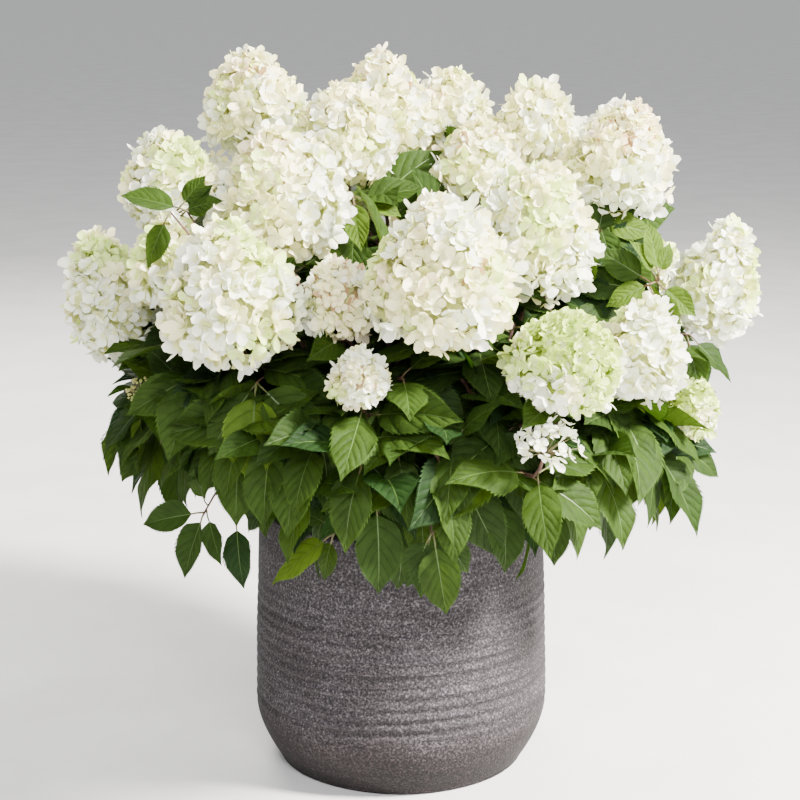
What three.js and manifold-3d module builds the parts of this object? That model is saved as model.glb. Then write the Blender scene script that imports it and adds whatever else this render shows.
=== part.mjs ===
// Panicle hydrangea growing in a ribbed stone planter.
//
// A short woody stock stands on the soil and splits into main boughs. Each bough carries one or two
// masses: a stem that forks into flowering shoots, each with paired leaves under a dense cone of
// florets, and into leafy twigs that arch down over the rim of the planter as a skirt.
//
// Millimetres, +Z up. The origin is the middle of the planter's flat underside, and -Y is the front.
// Bearings are degrees anticlockwise from +X seen from above, so the front is at -90.

import * as THREE from 'three';
import { mergeVertices } from 'three/addons/utils/BufferGeometryUtils.js';
import Module from 'manifold-3d';

const wasm = await Module();
wasm.setup();

// Clearance between neighbouring solids that touch on the real plant.
const GAP = 0.3;
// Room that leaves keep from limbs, heads, other masses' leaves and blades of their own mass.
const CLEAR = { limb: 0.6, head: 2, leaf: 1, blade: 0.2 };

const PLANTER = {
  height: 307,
  footRadius: 149,
  footRound: 5,
  bellyRadius: 175,
  bellyFrom: 76,
  chamferTop: { radius: 170, height: 56 },
  rimRadius: 167,
  rimRound: 4,
  wall: 16,
  floor: 22,
  innerFootRadius: 128,
  ribs: 13,
  ribPitch: 13.2,
  ribDepth: 1.6,
  sides: 28,
};
const SOIL = { top: 276, rise: 4, shoulder: 60 };
const STOCK = {
  height: 62,
  rootRadius: 33,
  waistRadius: 22,
  topRadius: 16,
  flareHeight: 20,
  lobes: 5,
  lobeDepth: 0.16,
  lean: 3,
  sides: 15,
};

// A bough leaves the stock at one of the levels, and bends up at shares of its reach and rise.
const BOUGH = {
  rootRadius: 7.5,
  tipRadius: 4.6,
  sides: 5,
  rings: 4,
  levels: [16, 31, 46],
  rootReach: 5,
  bend: { reach: 0.62, rise: 0.42 },
};
// A stem leaves the bough at its tip, or at sideShare of it, and ends in the hub of its shoots.
const STEM = {
  rootRadius: 5,
  tipRadius: 4.4,
  sides: 3,
  rings: 2,
  sideShare: 0.62,
  hubShare: 0.42,
  bend: 0.4,
};
// Shoots part from the stem at shares of its length. Leafy ones arch, flowering ones rise.
const SHOOT = {
  rootRadius: 4.2,
  tipRadius: 3.2,
  sides: 3,
  rings: 2,
  arch: 0.14,
  flowering: { from: 0.9, rise: 0.55 },
  leafy: { from: 0.82, step: 0.1 },
  skirt: { from: 0.28, tierStep: 0.2, placeStep: 0.08 },
};
const HEAD = {
  sides: 8,
  rings: 6,
  taper: 0.24,
  knob: 0.09,
  lean: 17,
  leanReach: 350,
  foot: 0.2,
  bare: 0.3,
  mayHide: 0.4,
};
const LEAF = {
  length: 114,
  width: 60,
  thickness: 3,
  setBack: 1.4,
  ridgeShare: 0.14,
  edgeLift: 0.07,
  stagger: 5,
  outwards: 0.75,
  flatten: 0.5,
  facing: 0.7,
  first: 14,
  spacing: 46,
  rootShare: 0.2,
};
// How each way of a leaf goes from level ones at the top to hanging ones in the skirt, and how far
// it strays, in radians and as shares of the leaf's size.
const POSE = {
  pitch: { level: 0.45, hanging: -0.35, spread: 0.2 },
  droop: { level: 0.45, hanging: 0.9, spread: 0.18 },
  twist: { step: 0.45, steps: 7, spread: 0.35 },
  grow: { spread: 0.14, firstPair: -0.1 },
};
const END_LEAF = {
  size: 0.9,
  sink: 0.03,
  dip: 0.4,
  droop: 0.3,
  sagDroop: 0.5,
  strayDip: 0.15,
  strayGrow: 0.1,
};
const PAIRS = { flowering: 2, leafy: 2 };
// Leaves hang fully at this height and below, and stand nearly level from the upper one on.
const SAG = { fullBelow: 400, levelAbove: 640, least: 0.1 };

// Leafy twigs of the skirt in each outer mass: the tier's height and reach, and its bearings as
// shares of the mass's half sector.
const SKIRT = [
  { height: 366, reach: 238, shares: [-0.6, 0.45] },
  { height: 436, reach: 282, shares: [-0.9, 0, 0.85] },
  { height: 500, reach: 290, shares: [-0.35] },
];
const SKIRT_STRAY = { bearing: 3, reach: 16, height: 12 };

// Main boughs: bearing, reach and height of the tip.
const BOUGHS = {
  front: { bearing: -98, reach: 140, height: 440 },
  front_left: { bearing: -133, reach: 165, height: 445 },
  left: { bearing: -176, reach: 175, height: 440 },
  back_left: { bearing: 143, reach: 165, height: 455 },
  back: { bearing: 98, reach: 160, height: 455 },
  back_right: { bearing: 52, reach: 160, height: 455 },
  right: { bearing: 6, reach: 175, height: 450 },
  right_front: { bearing: -32, reach: 165, height: 430 },
  front_right: { bearing: -65, reach: 160, height: 425 },
  centre: { bearing: -20, reach: 38, height: 500 },
};

// A head is a cone of florets: bearing, reach and height of its middle, then width and length.
// A leafy shoot has the bearing, reach and height of its tip. An outer mass has half, the half
// angle of its sector, and so a skirt. A mass on the side of its bough leaves it before the tip.
const MASSES = [
  { name: 'foliage_front', bough: 'front', half: 16,
    heads: [[-81, 273, 622, 152, 168], [-98, 303, 524, 62, 70]], leafy: [] },
  { name: 'foliage_front_inner', bough: 'front', side: true,
    heads: [[-137, 178, 686, 144, 156], [-106, 231, 592, 80, 88]], leafy: [[-108, 92, 630]] },
  { name: 'foliage_front_left', bough: 'front_left', half: 20,
    heads: [[-127, 302, 590, 138, 160], [-149, 282, 616, 92, 110]], leafy: [[-158, 262, 652]] },
  { name: 'foliage_left', bough: 'left', half: 21,
    heads: [[-171, 331, 567, 104, 160], [-154, 318, 473, 42, 40]], leafy: [] },
  { name: 'foliage_left_top', bough: 'left', side: true,
    heads: [[176, 267, 688, 106, 120]], leafy: [] },
  { name: 'foliage_back_left', bough: 'back_left', half: 22,
    heads: [[125, 315, 580, 118, 132], [153, 338, 540, 104, 120]], leafy: [] },
  { name: 'foliage_top_left', bough: 'back_left', side: true,
    heads: [[155, 190, 774, 118, 124], [150, 262, 660, 92, 104]], leafy: [] },
  { name: 'foliage_back', bough: 'back', half: 22,
    heads: [[80, 292, 600, 130, 146], [103, 330, 478, 80, 88], [108, 236, 664, 112, 126]], leafy: [] },
  { name: 'foliage_top_back', bough: 'back', side: true,
    heads: [[101, 116, 762, 116, 136], [72, 199, 752, 98, 114]], leafy: [] },
  { name: 'foliage_back_right', bough: 'back_right', half: 22,
    heads: [[50, 326, 560, 118, 134], [24, 330, 545, 106, 124]], leafy: [] },
  { name: 'foliage_top_right_back', bough: 'back_right', side: true,
    heads: [[32, 189, 744, 98, 114], [38, 278, 690, 92, 108]], leafy: [] },
  { name: 'foliage_right', bough: 'right', half: 20,
    heads: [[-3, 363, 576, 96, 154]], leafy: [] },
  { name: 'foliage_top_right', bough: 'right', side: true,
    heads: [[0, 248, 714, 122, 138]], leafy: [] },
  { name: 'foliage_right_front', bough: 'right_front', half: 15,
    heads: [[-35, 313, 526, 94, 126], [-17, 341, 443, 60, 70]], leafy: [] },
  { name: 'foliage_upper_right', bough: 'right_front', side: true,
    heads: [[-44, 203, 652, 126, 152]], leafy: [[-18, 300, 590], [-24, 250, 640]] },
  { name: 'foliage_front_right', bough: 'front_right', half: 17,
    heads: [[-59, 326, 540, 128, 110], [-65, 345, 452, 70, 58]], leafy: [] },
  { name: 'foliage_top_centre', bough: 'centre',
    heads: [[19, 94, 704, 104, 108], [-172, 66, 738, 116, 126]], leafy: [] },
];

const COLOURS = {
  planter: 0x77706d,
  soil: 0x33261d,
  bark: 0x5b4335,
  mass: 0x6f8a4c,
};
const UP = new THREE.Vector3(0, 0, 1);
const DEGREE = Math.PI / 180;

// The minimal standard random generator: the same numbers for the same seed on any machine.
function seeded(seed) {
  const modulus = 2147483647;
  let state = (seed * 7919 + 12345) % modulus;
  return () => {
    state = (state * 16807) % modulus;
    return state / modulus;
  };
}

function spread(random, amount) {
  return (random() * 2 - 1) * amount;
}

function at(bearing, reach, height) {
  return new THREE.Vector3(reach * Math.cos(bearing * DEGREE), reach * Math.sin(bearing * DEGREE), height);
}

// Only positions, with shared vertices merged, as a closed indexed mesh.
function closedMesh(geometry) {
  const bare = geometry.clone();
  bare.deleteAttribute('normal');
  bare.deleteAttribute('uv');
  return mergeVertices(bare, 1e-4);
}

function moveVertices(geometry, place) {
  const position = geometry.getAttribute('position');
  const point = new THREE.Vector3();
  for (let i = 0; i < position.count; i += 1) {
    point.fromBufferAttribute(position, i);
    place(point);
    position.setXYZ(i, point.x, point.y, point.z);
  }
  return geometry;
}

function toSolid(geometry) {
  return new wasm.Manifold(new wasm.Mesh({
    numProp: 3,
    vertProperties: geometry.getAttribute('position').array,
    triVerts: Uint32Array.from(geometry.index.array),
  }));
}

function toGeometry(solid) {
  const mesh = solid.getMesh();
  const geometry = new THREE.BufferGeometry();
  geometry.setAttribute('position', new THREE.BufferAttribute(mesh.vertProperties, 3));
  geometry.setIndex(new THREE.BufferAttribute(mesh.triVerts, 1));
  geometry.computeVertexNormals();
  return geometry;
}

function join(solids) {
  return solids.reduce((whole, next) => whole.add(next));
}

// The one connected body that matters, without the scraps that a cut leaves.
function largestBody(solid) {
  return solid.decompose().reduce((best, next) => (next.volume() > best.volume() ? next : best));
}

// A round solid from a profile of [radius, height] points that starts and ends on the axis.
function turned(profile, sides) {
  const points = profile.map(([radius, height]) => new THREE.Vector2(radius, height));
  const geometry = closedMesh(new THREE.LatheGeometry(points, sides));
  return geometry.rotateX(Math.PI / 2);
}

// Outer radius of the planter above its chamfer: straight up the belly, then in a little to the rim.
function planterRadius(height) {
  const share = Math.max(0, (height - PLANTER.bellyFrom) / (PLANTER.height - PLANTER.bellyFrom));
  return PLANTER.bellyRadius - (PLANTER.bellyRadius - PLANTER.rimRadius) * share ** 1.6;
}

function hollowRadius(height) {
  const share = Math.min(1, (height - PLANTER.floor) / (PLANTER.bellyFrom - PLANTER.floor));
  const full = planterRadius(Math.max(height, PLANTER.bellyFrom)) - PLANTER.wall;
  return PLANTER.innerFootRadius + (full - PLANTER.innerFootRadius) * share;
}

function planterGeometry() {
  const { footRadius, footRound, chamferTop, bellyFrom, rimRound, height } = PLANTER;
  const { ribs, ribPitch, ribDepth } = PLANTER;
  const outside = [[0, 0], [footRadius - footRound, 0], [footRadius, footRound]];
  outside.push([chamferTop.radius, chamferTop.height]);
  for (let rib = 0; rib < ribs; rib += 1) {
    const crest = bellyFrom + rib * ribPitch;
    outside.push([planterRadius(crest), crest]);
    outside.push([planterRadius(crest + ribPitch / 2) - ribDepth, crest + ribPitch / 2]);
  }
  const plain = bellyFrom + ribs * ribPitch;
  outside.push([planterRadius(plain), plain]);
  const rim = planterRadius(height);
  outside.push([rim, height - rimRound], [rim - rimRound, height]);
  const mouth = hollowRadius(height);
  const inside = [[mouth + rimRound, height], [mouth, height - rimRound]];
  inside.push([hollowRadius(SOIL.top), SOIL.top], [hollowRadius(bellyFrom), bellyFrom]);
  inside.push([PLANTER.innerFootRadius, PLANTER.floor], [0, PLANTER.floor]);
  return turned([...outside, ...inside], PLANTER.sides);
}

// The root ball fills the planter to below its rim and is level where the stock stands.
function soilGeometry() {
  const profile = [
    [0, PLANTER.floor + GAP],
    [PLANTER.innerFootRadius - GAP, PLANTER.floor + GAP],
    [hollowRadius(PLANTER.bellyFrom) - GAP, PLANTER.bellyFrom],
    [hollowRadius(SOIL.top) - GAP, SOIL.top - SOIL.rise],
    [SOIL.shoulder, SOIL.top],
    [0, SOIL.top],
  ];
  return turned(profile, PLANTER.sides);
}

// The stock's outline: root flare with lobes, waist and a rounded top, leaning a little.
function stockSolid(margin) {
  const { height, rootRadius, waistRadius, topRadius, flareHeight, lobes, lobeDepth, lean } = STOCK;
  const levels = [0, 0.33, 0.75, 1];
  const radii = [rootRadius, waistRadius, waistRadius, topRadius];
  const geometry = closedMesh(new THREE.CylinderGeometry(1, 1, 1, STOCK.sides, levels.length - 1));
  moveVertices(geometry, (point) => {
    const level = Math.round((point.y + 0.5) * (levels.length - 1));
    const up = levels[level] * height;
    const flare = Math.max(0, 1 - up / flareHeight);
    const lobe = 1 + lobeDepth * flare * Math.cos(lobes * Math.atan2(point.z, point.x));
    const wide = (radii[level] + margin) * lobe;
    const lift = level === levels.length - 1 ? margin : 0;
    point.set(point.x * wide + lean * levels[level], -point.z * wide, SOIL.top + GAP + up + lift);
  });
  return toSolid(geometry);
}

// A tapering limb: the rings of a closed cylinder carried onto a curve.
function limb(curve, rootRadius, tipRadius, sides, rings) {
  const geometry = closedMesh(new THREE.CylinderGeometry(tipRadius, rootRadius, 1, sides, rings));
  const frames = curve.computeFrenetFrames(rings);
  moveVertices(geometry, (point) => {
    const along = Math.min(1, Math.max(0, point.y + 0.5));
    const ring = Math.round(along * rings);
    const across = frames.normals[ring].clone().multiplyScalar(point.x);
    const beside = frames.binormals[ring].clone().multiplyScalar(-point.z);
    point.copy(curve.getPointAt(along)).add(across).add(beside);
  });
  return toSolid(geometry);
}

// From the side of the stock outwards, then bending up to the tip.
function boughCurve(index, { bearing, reach, height }) {
  const level = BOUGH.levels[index % BOUGH.levels.length];
  const root = at(bearing, BOUGH.rootReach, SOIL.top + level);
  const tip = at(bearing, reach, height);
  const rise = height - root.z;
  const bend = at(bearing, BOUGH.rootReach + reach * BOUGH.bend.reach, root.z + rise * BOUGH.bend.rise);
  return new THREE.QuadraticBezierCurve3(root, bend, tip);
}

// A head leans outwards, the more so the further out it is carried.
function headAxis(bearing, reach) {
  const lean = (HEAD.lean * reach / HEAD.leanReach) * DEGREE;
  return at(bearing, Math.sin(lean), Math.cos(lean));
}

function leanTo(axis) {
  return new THREE.Quaternion().setFromUnitVectors(UP, axis);
}

// An egg of florets, widest below the middle, with every point in or out a little as a knob.
function headSolid({ centre, axis, width, length, seed }, margin) {
  const random = seeded(seed);
  const turn = leanTo(axis);
  const geometry = closedMesh(new THREE.SphereGeometry(1, HEAD.sides, HEAD.rings));
  moveVertices(geometry, (point) => {
    const knob = 1 + spread(random, HEAD.knob);
    const narrow = (1 - HEAD.taper * point.y) * knob;
    point.set(
      point.x * narrow * (width / 2 + margin),
      -point.z * narrow * (width / 2 + margin),
      point.y * (length / 2 + margin),
    );
    point.applyQuaternion(turn).add(centre);
  });
  return toSolid(geometry);
}

// A blade of eight faces, thickest near its root, which is sunk past the twig's middle. The tip
// hangs by the droop.
function leafSolid({ root, heading, above, length, width, droop }, margin) {
  const side = new THREE.Vector3().crossVectors(above, heading).normalize();
  const falling = heading.clone().applyAxisAngle(side, droop);
  const middle = root.clone().addScaledVector(heading, length * 0.5);
  const tip = middle.clone().addScaledVector(falling, length * 0.5 + margin);
  const back = root.clone().addScaledVector(heading, -LEAF.setBack);
  const half = width / 2 + margin;
  const thick = LEAF.thickness / 2 + margin;
  const geometry = closedMesh(new THREE.OctahedronGeometry(1));
  moveVertices(geometry, (point) => {
    const { x, y, z } = point;
    if (Math.abs(x) > 0.5) point.copy(x < 0 ? back : tip);
    else if (Math.abs(y) > 0.5) {
      point.copy(middle).addScaledVector(side, y * half).addScaledVector(above, LEAF.edgeLift * width);
    } else point.copy(back).lerp(middle, 2 * LEAF.ridgeShare).addScaledVector(above, z * thick);
  });
  return toSolid(geometry);
}

// A way of the leaf at a sag from 0, standing out level, to 1, hanging.
function posed({ level, hanging, spread: stray }, sag, random) {
  return level + (hanging - level) * sag + spread(random, stray);
}

// Where a leaf points and which way its upper side looks: outwards the more it hangs.
function leafWays(root, axis, twist, pitch, sag) {
  const outwards = new THREE.Vector3(root.x, root.y, 0).normalize();
  const heading = new THREE.Vector3(Math.cos(twist), Math.sin(twist), 0);
  heading.applyQuaternion(leanTo(axis)).addScaledVector(outwards, LEAF.outwards * sag);
  heading.setZ(heading.z * LEAF.flatten).normalize();
  heading.multiplyScalar(Math.cos(pitch)).addScaledVector(UP, Math.sin(pitch)).normalize();
  const above = UP.clone().addScaledVector(outwards, LEAF.facing * sag);
  above.addScaledVector(heading, -above.dot(heading)).normalize();
  return { heading, above };
}

// Opposite leaves at every node below the curve's end, each pair a quarter turn on from the last.
function pairedLeaves(curve, pairs, firstBelow, sag, seed) {
  const leaves = [];
  const length = curve.getLength();
  for (let pair = 0; pair < pairs; pair += 1) {
    const random = seeded(seed * 10 + pair);
    const below = firstBelow + pair * LEAF.spacing;
    const { step, steps, spread: stray } = POSE.twist;
    const twist = spread(random, stray) + pair * Math.PI / 2 + (seed % steps) * step;
    const along = 1 - below / length;
    for (const opposite of [0, Math.PI]) {
      const pitch = posed(POSE.pitch, sag, random);
      const grow = 1 + spread(random, POSE.grow.spread) + (pair === 0 ? POSE.grow.firstPair : 0);
      const droop = posed(POSE.droop, sag, random);
      if (along <= 0.04) continue;
      const root = curve.getPointAt(along);
      const axis = curve.getTangentAt(along);
      leaves.push({
        ...leafWays(root, axis, twist + opposite, pitch, sag),
        root: root.addScaledVector(axis, LEAF.stagger * (opposite > 0 ? 1 : -1)),
        length: LEAF.length * grow,
        width: LEAF.width * grow,
        droop,
      });
    }
  }
  return leaves;
}

// A leaf that carries the twig on at its end.
function endLeaf(curve, sag, seed) {
  const random = seeded(seed * 10 + 9);
  const { size, sink, dip, droop, sagDroop, strayDip, strayGrow } = END_LEAF;
  const heading = curve.getTangentAt(1);
  heading.z -= dip * sag + spread(random, strayDip);
  heading.normalize();
  return {
    root: curve.getPointAt(1 - sink),
    heading,
    above: UP.clone().addScaledVector(heading, -heading.z).normalize(),
    length: LEAF.length * (size + spread(random, strayGrow)),
    width: LEAF.width * size,
    droop: droop + sagDroop * sag,
  };
}

function sagAt(height) {
  const share = (SAG.levelAbove - height) / (SAG.levelAbove - SAG.fullBelow);
  return THREE.MathUtils.clamp(share, SAG.least, 1);
}

// The stem of a mass, from its bough to the hub where its shoots part.
function stemCurve(mass, bough, heads) {
  const share = mass.side ? STEM.sideShare : 1;
  const tangent = bough.getTangentAt(share);
  const root = bough.getPointAt(share);
  if (!mass.side) root.addScaledVector(tangent, GAP);
  const crown = new THREE.Vector3();
  heads.forEach((head) => crown.addScaledVector(head.foot, 1 / heads.length));
  const hub = root.clone().lerp(crown, STEM.hubShare);
  const bend = root.clone().addScaledVector(mass.side ? UP : tangent, root.distanceTo(hub) * STEM.bend);
  return new THREE.QuadraticBezierCurve3(root, bend, hub);
}

function planHeads(mass, number) {
  return mass.heads.map(([bearing, reach, height, width, length], index) => {
    const axis = headAxis(bearing, reach);
    const centre = at(bearing, reach, height);
    const foot = centre.clone().addScaledVector(axis, -HEAD.foot * length);
    return { centre, axis, foot, width, length, seed: number * 50 + index };
  });
}

// Up from the hub into the foot of its head.
function floweringCurve(stem, head) {
  const start = stem.getPointAt(SHOOT.flowering.from);
  const rise = SHOOT.flowering.rise * start.distanceTo(head.foot);
  const bend = head.foot.clone().addScaledVector(head.axis, -rise);
  return new THREE.QuadraticBezierCurve3(start, bend, head.foot);
}

function leafyCurve(stem, { tip, from }) {
  const start = stem.getPointAt(from);
  const bend = start.clone().lerp(tip, 0.5).addScaledVector(UP, SHOOT.arch * start.distanceTo(tip));
  return new THREE.QuadraticBezierCurve3(start, bend, tip);
}

// The tips of a mass's leafy shoots and skirt twigs, and where on the stem each starts.
function leafyTips(mass, number) {
  const { leafy, skirt } = SHOOT;
  const tips = mass.leafy.map((tip, index) => ({ tip: at(...tip), from: leafy.from - leafy.step * index }));
  if (!mass.half) return tips;
  const random = seeded(number * 31 + 5);
  const stray = (key) => spread(random, SKIRT_STRAY[key]);
  const middle = BOUGHS[mass.bough].bearing;
  SKIRT.forEach(({ height, reach, shares }, tier) => shares.forEach((share, place) => {
    const bearing = middle + share * mass.half + stray('bearing');
    tips.push({
      tip: at(bearing, reach + stray('reach'), height + stray('height')),
      from: skirt.from + skirt.tierStep * tier + skirt.placeStep * place,
    });
  }));
  return tips;
}

// What a mass is made of, before any leaf is left out: its stem, shoots, heads and leaves.
function planMass(mass, number, bough) {
  const heads = planHeads(mass, number);
  const stem = stemCurve(mass, bough, heads);
  const shoots = [];
  const leaves = [];
  heads.forEach((head) => {
    const curve = floweringCurve(stem, head);
    const below = HEAD.bare * head.length + LEAF.first;
    shoots.push(curve);
    leaves.push(...pairedLeaves(curve, PAIRS.flowering, below, sagAt(head.foot.z - below), head.seed));
  });
  leafyTips(mass, number).forEach((row, index) => {
    const curve = leafyCurve(stem, row);
    const seed = number * 50 + 20 + index;
    const sag = sagAt(row.tip.z);
    shoots.push(curve);
    leaves.push(endLeaf(curve, sag, seed), ...pairedLeaves(curve, PAIRS.leafy, LEAF.first, sag, seed));
  });
  return { name: mass.name, stem, shoots, heads, leaves, side: Boolean(mass.side) };
}

function boxesMeet(a, b) {
  return [0, 1, 2].every((k) => a.min[k] <= b.max[k] && b.min[k] <= a.max[k]);
}

function obstacle(owner, solid) {
  return { owner, solid, box: solid.boundingBox() };
}

function clearOf(solid, owner, obstacles) {
  const box = solid.boundingBox();
  const near = obstacles.filter((other) => other.owner !== owner && boxesMeet(box, other.box));
  return near.every((other) => other.solid.intersect(solid).isEmpty());
}

// The blade without its root end, where the leaves of one mass may not cross.
function outerBlade(leaf, margin) {
  const skipped = LEAF.rootShare * leaf.length;
  const root = leaf.root.clone().addScaledVector(leaf.heading, skipped);
  return leafSolid({ ...leaf, root, length: leaf.length - skipped }, margin);
}

function limbOf(curve, size, margin) {
  return limb(curve, size.rootRadius + margin, size.tipRadius + margin, size.sides, size.rings);
}

function namedMesh(name, geometry, colour, roughness) {
  const material = new THREE.MeshStandardMaterial({ color: colour, roughness, metalness: 0 });
  const mesh = new THREE.Mesh(geometry, material);
  mesh.name = name;
  return mesh;
}

function addBoughs(plant, curves, obstacles) {
  Object.entries(curves).forEach(([name, curve]) => {
    const solid = largestBody(limbOf(curve, BOUGH, 0).subtract(stockSolid(GAP)));
    plant.add(namedMesh(`bough_${name}`, toGeometry(solid), COLOURS.bark, 0.9));
    obstacles.push(obstacle('boughs', limbOf(curve, BOUGH, CLEAR.limb)));
  });
}

// Stems, shoots and heads of every mass come first, so that no leaf of any mass runs into them.
function growLimbs(masses, obstacles) {
  masses.forEach((mass) => {
    const limbs = [[mass.stem, STEM], ...mass.shoots.map((shoot) => [shoot, SHOOT])];
    mass.solids = limbs.map(([curve, size]) => limbOf(curve, size, 0));
    mass.cores = mass.heads.map((head) => headSolid(head, 0));
    obstacles.push(...limbs.map(([curve, size]) => obstacle(mass.name, limbOf(curve, size, CLEAR.limb))));
    obstacles.push(...mass.heads.map((head) => obstacle(mass.name, headSolid(head, CLEAR.head))));
  });
}

// Whether a leaf shows outside the heads and keeps clear of the rest and of its own mass's blades.
function hasRoom(leaf, mass, blades, obstacles) {
  const roomy = leafSolid(leaf, CLEAR.leaf);
  const most = HEAD.mayHide * roomy.volume();
  if (mass.cores.some((core) => core.intersect(roomy).volume() > most)) return false;
  return clearOf(roomy, mass.name, obstacles) && clearOf(outerBlade(leaf, CLEAR.blade), null, blades);
}

function growLeaves(mass, obstacles) {
  const blades = [];
  const growing = mass.leaves.filter((leaf) => {
    const roomy = hasRoom(leaf, mass, blades, obstacles);
    if (roomy) blades.push(obstacle(mass.name, leafSolid(leaf, CLEAR.blade)));
    return roomy;
  });
  obstacles.push(...growing.map((leaf) => obstacle(mass.name, leafSolid(leaf, CLEAR.leaf))));
  return growing.map((leaf) => leafSolid(leaf, 0));
}

function buildPlant() {
  const plant = new THREE.Group();
  const planter = planterGeometry();
  plant.add(namedMesh('planter', planter, COLOURS.planter, 0.85));
  plant.add(namedMesh('soil', soilGeometry(), COLOURS.soil, 1));
  plant.add(namedMesh('stock', toGeometry(stockSolid(0)), COLOURS.bark, 0.9));

  const rows = Object.entries(BOUGHS);
  const curves = Object.fromEntries(rows.map(([name, bough], index) => [name, boughCurve(index, bough)]));
  const obstacles = [obstacle('planter', toSolid(planter))];
  addBoughs(plant, curves, obstacles);

  const masses = MASSES.map((mass, number) => planMass(mass, number + 1, curves[mass.bough]));
  growLimbs(masses, obstacles);
  masses.forEach((mass, number) => {
    const whole = join([...mass.solids, ...mass.cores, ...growLeaves(mass, obstacles)]);
    const bough = limbOf(curves[MASSES[number].bough], BOUGH, GAP);
    const solid = largestBody(mass.side ? whole.subtract(bough) : whole);
    plant.add(namedMesh(mass.name, toGeometry(solid), COLOURS.mass, 0.7));
  });
  return plant;
}

export default buildPlant();
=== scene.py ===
# Potted panicle hydrangea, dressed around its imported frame.
#
# The growth tables and the growth rule are those of the solids, in millimetres; MM turns them into
# metres. Bearings are degrees anticlockwise from +X seen from above, so the front is at -90.
# Masses are grown again here with more and finer shoots, real-sized leaves and single florets.

import math
from collections import namedtuple
from types import SimpleNamespace as Sizes

import bmesh
import bpy
import numpy as np
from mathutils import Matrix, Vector


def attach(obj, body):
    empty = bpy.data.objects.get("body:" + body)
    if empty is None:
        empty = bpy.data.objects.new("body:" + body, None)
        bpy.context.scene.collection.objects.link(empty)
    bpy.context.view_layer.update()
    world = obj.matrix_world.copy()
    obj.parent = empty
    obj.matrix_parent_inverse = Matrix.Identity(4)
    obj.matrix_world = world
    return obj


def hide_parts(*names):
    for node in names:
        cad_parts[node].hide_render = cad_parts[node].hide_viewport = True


MM = 0.001
# Triangles that one piece may have, and copies that are gathered at a time.
PIECE_LIMIT = 160000
BATCH = 50
UP = np.array([0.0, 0.0, 1.0])
LIGHT_SIDE = np.array([0.3, -0.95, 0.0])

# Camera, solved from the planter's rim, ribs and foot in the photograph.
CAMERA = Sizes(place=(-0.001, -2.17, 0.924), pitch=12.8, lens=85.5, sensor=36.0)

# The planter's sizes in mm; where its rib grooves are deeper than the threshold after rib_depth, they are
# painted darker as shade.
PLANTER = Sizes(
    height=307, foot_radius=149, foot_round=5, belly_radius=175, belly_from=76, rim_radius=167, rim_round=4,
    wall=16, ribs=11, rib_pitch=13.2, rib_depth=3.0, dirt_from=2.2, sides=220, row_step=1.65)
SOIL = Sizes(top=276, rings=46, sides=120, chips=420)
STOCK = Sizes(height=62, root=33, waist=22, top=16, flare=20, lobes=5, lean=3, sides=28)
BOUGH = Sizes(root=7.5, tip=4.6, levels=(16, 31, 46), root_reach=5, rings=26, sides=12)
STEM = Sizes(root=4.2, tip=3.4, side_share=0.62, hub_share=0.42)
SHOOT = Sizes(root=2.9, tip=1.7, thin=0.6)
HEAD = Sizes(taper=0.42, lean=17, lean_reach=350, foot=0.2, bare=0.3, core=0.74)

# Leafy twigs of the skirt in each outer mass: a tier's height and reach, and bearings as shares of
# the half sector. The rows are the solids' own, with finer twigs between them.
SKIRT = (
    (372, 240, (-0.6, 0.0, 0.5)),
    (404, 282, (-0.75, 0.3, 0.85)),
    (444, 280, (-0.9, -0.45, 0.0, 0.45, 0.85)),
    (500, 252, (-0.6, 0.0, 0.6)),
    (552, 222, (-0.35, 0.55)),
    (604, 188, (0.1,)),
)
LOW_SKIRT = 390

# Each bough's bearing, and its tip's reach and height.
BOUGHS = {
    "front": (-98, 140, 440),
    "front_left": (-133, 165, 445),
    "left": (-176, 175, 440),
    "back_left": (143, 165, 455),
    "back": (98, 160, 455),
    "back_right": (52, 160, 455),
    "right": (6, 175, 450),
    "right_front": (-32, 165, 430),
    "front_right": (-65, 160, 425),
    "centre": (-20, 38, 500),
}

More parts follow.
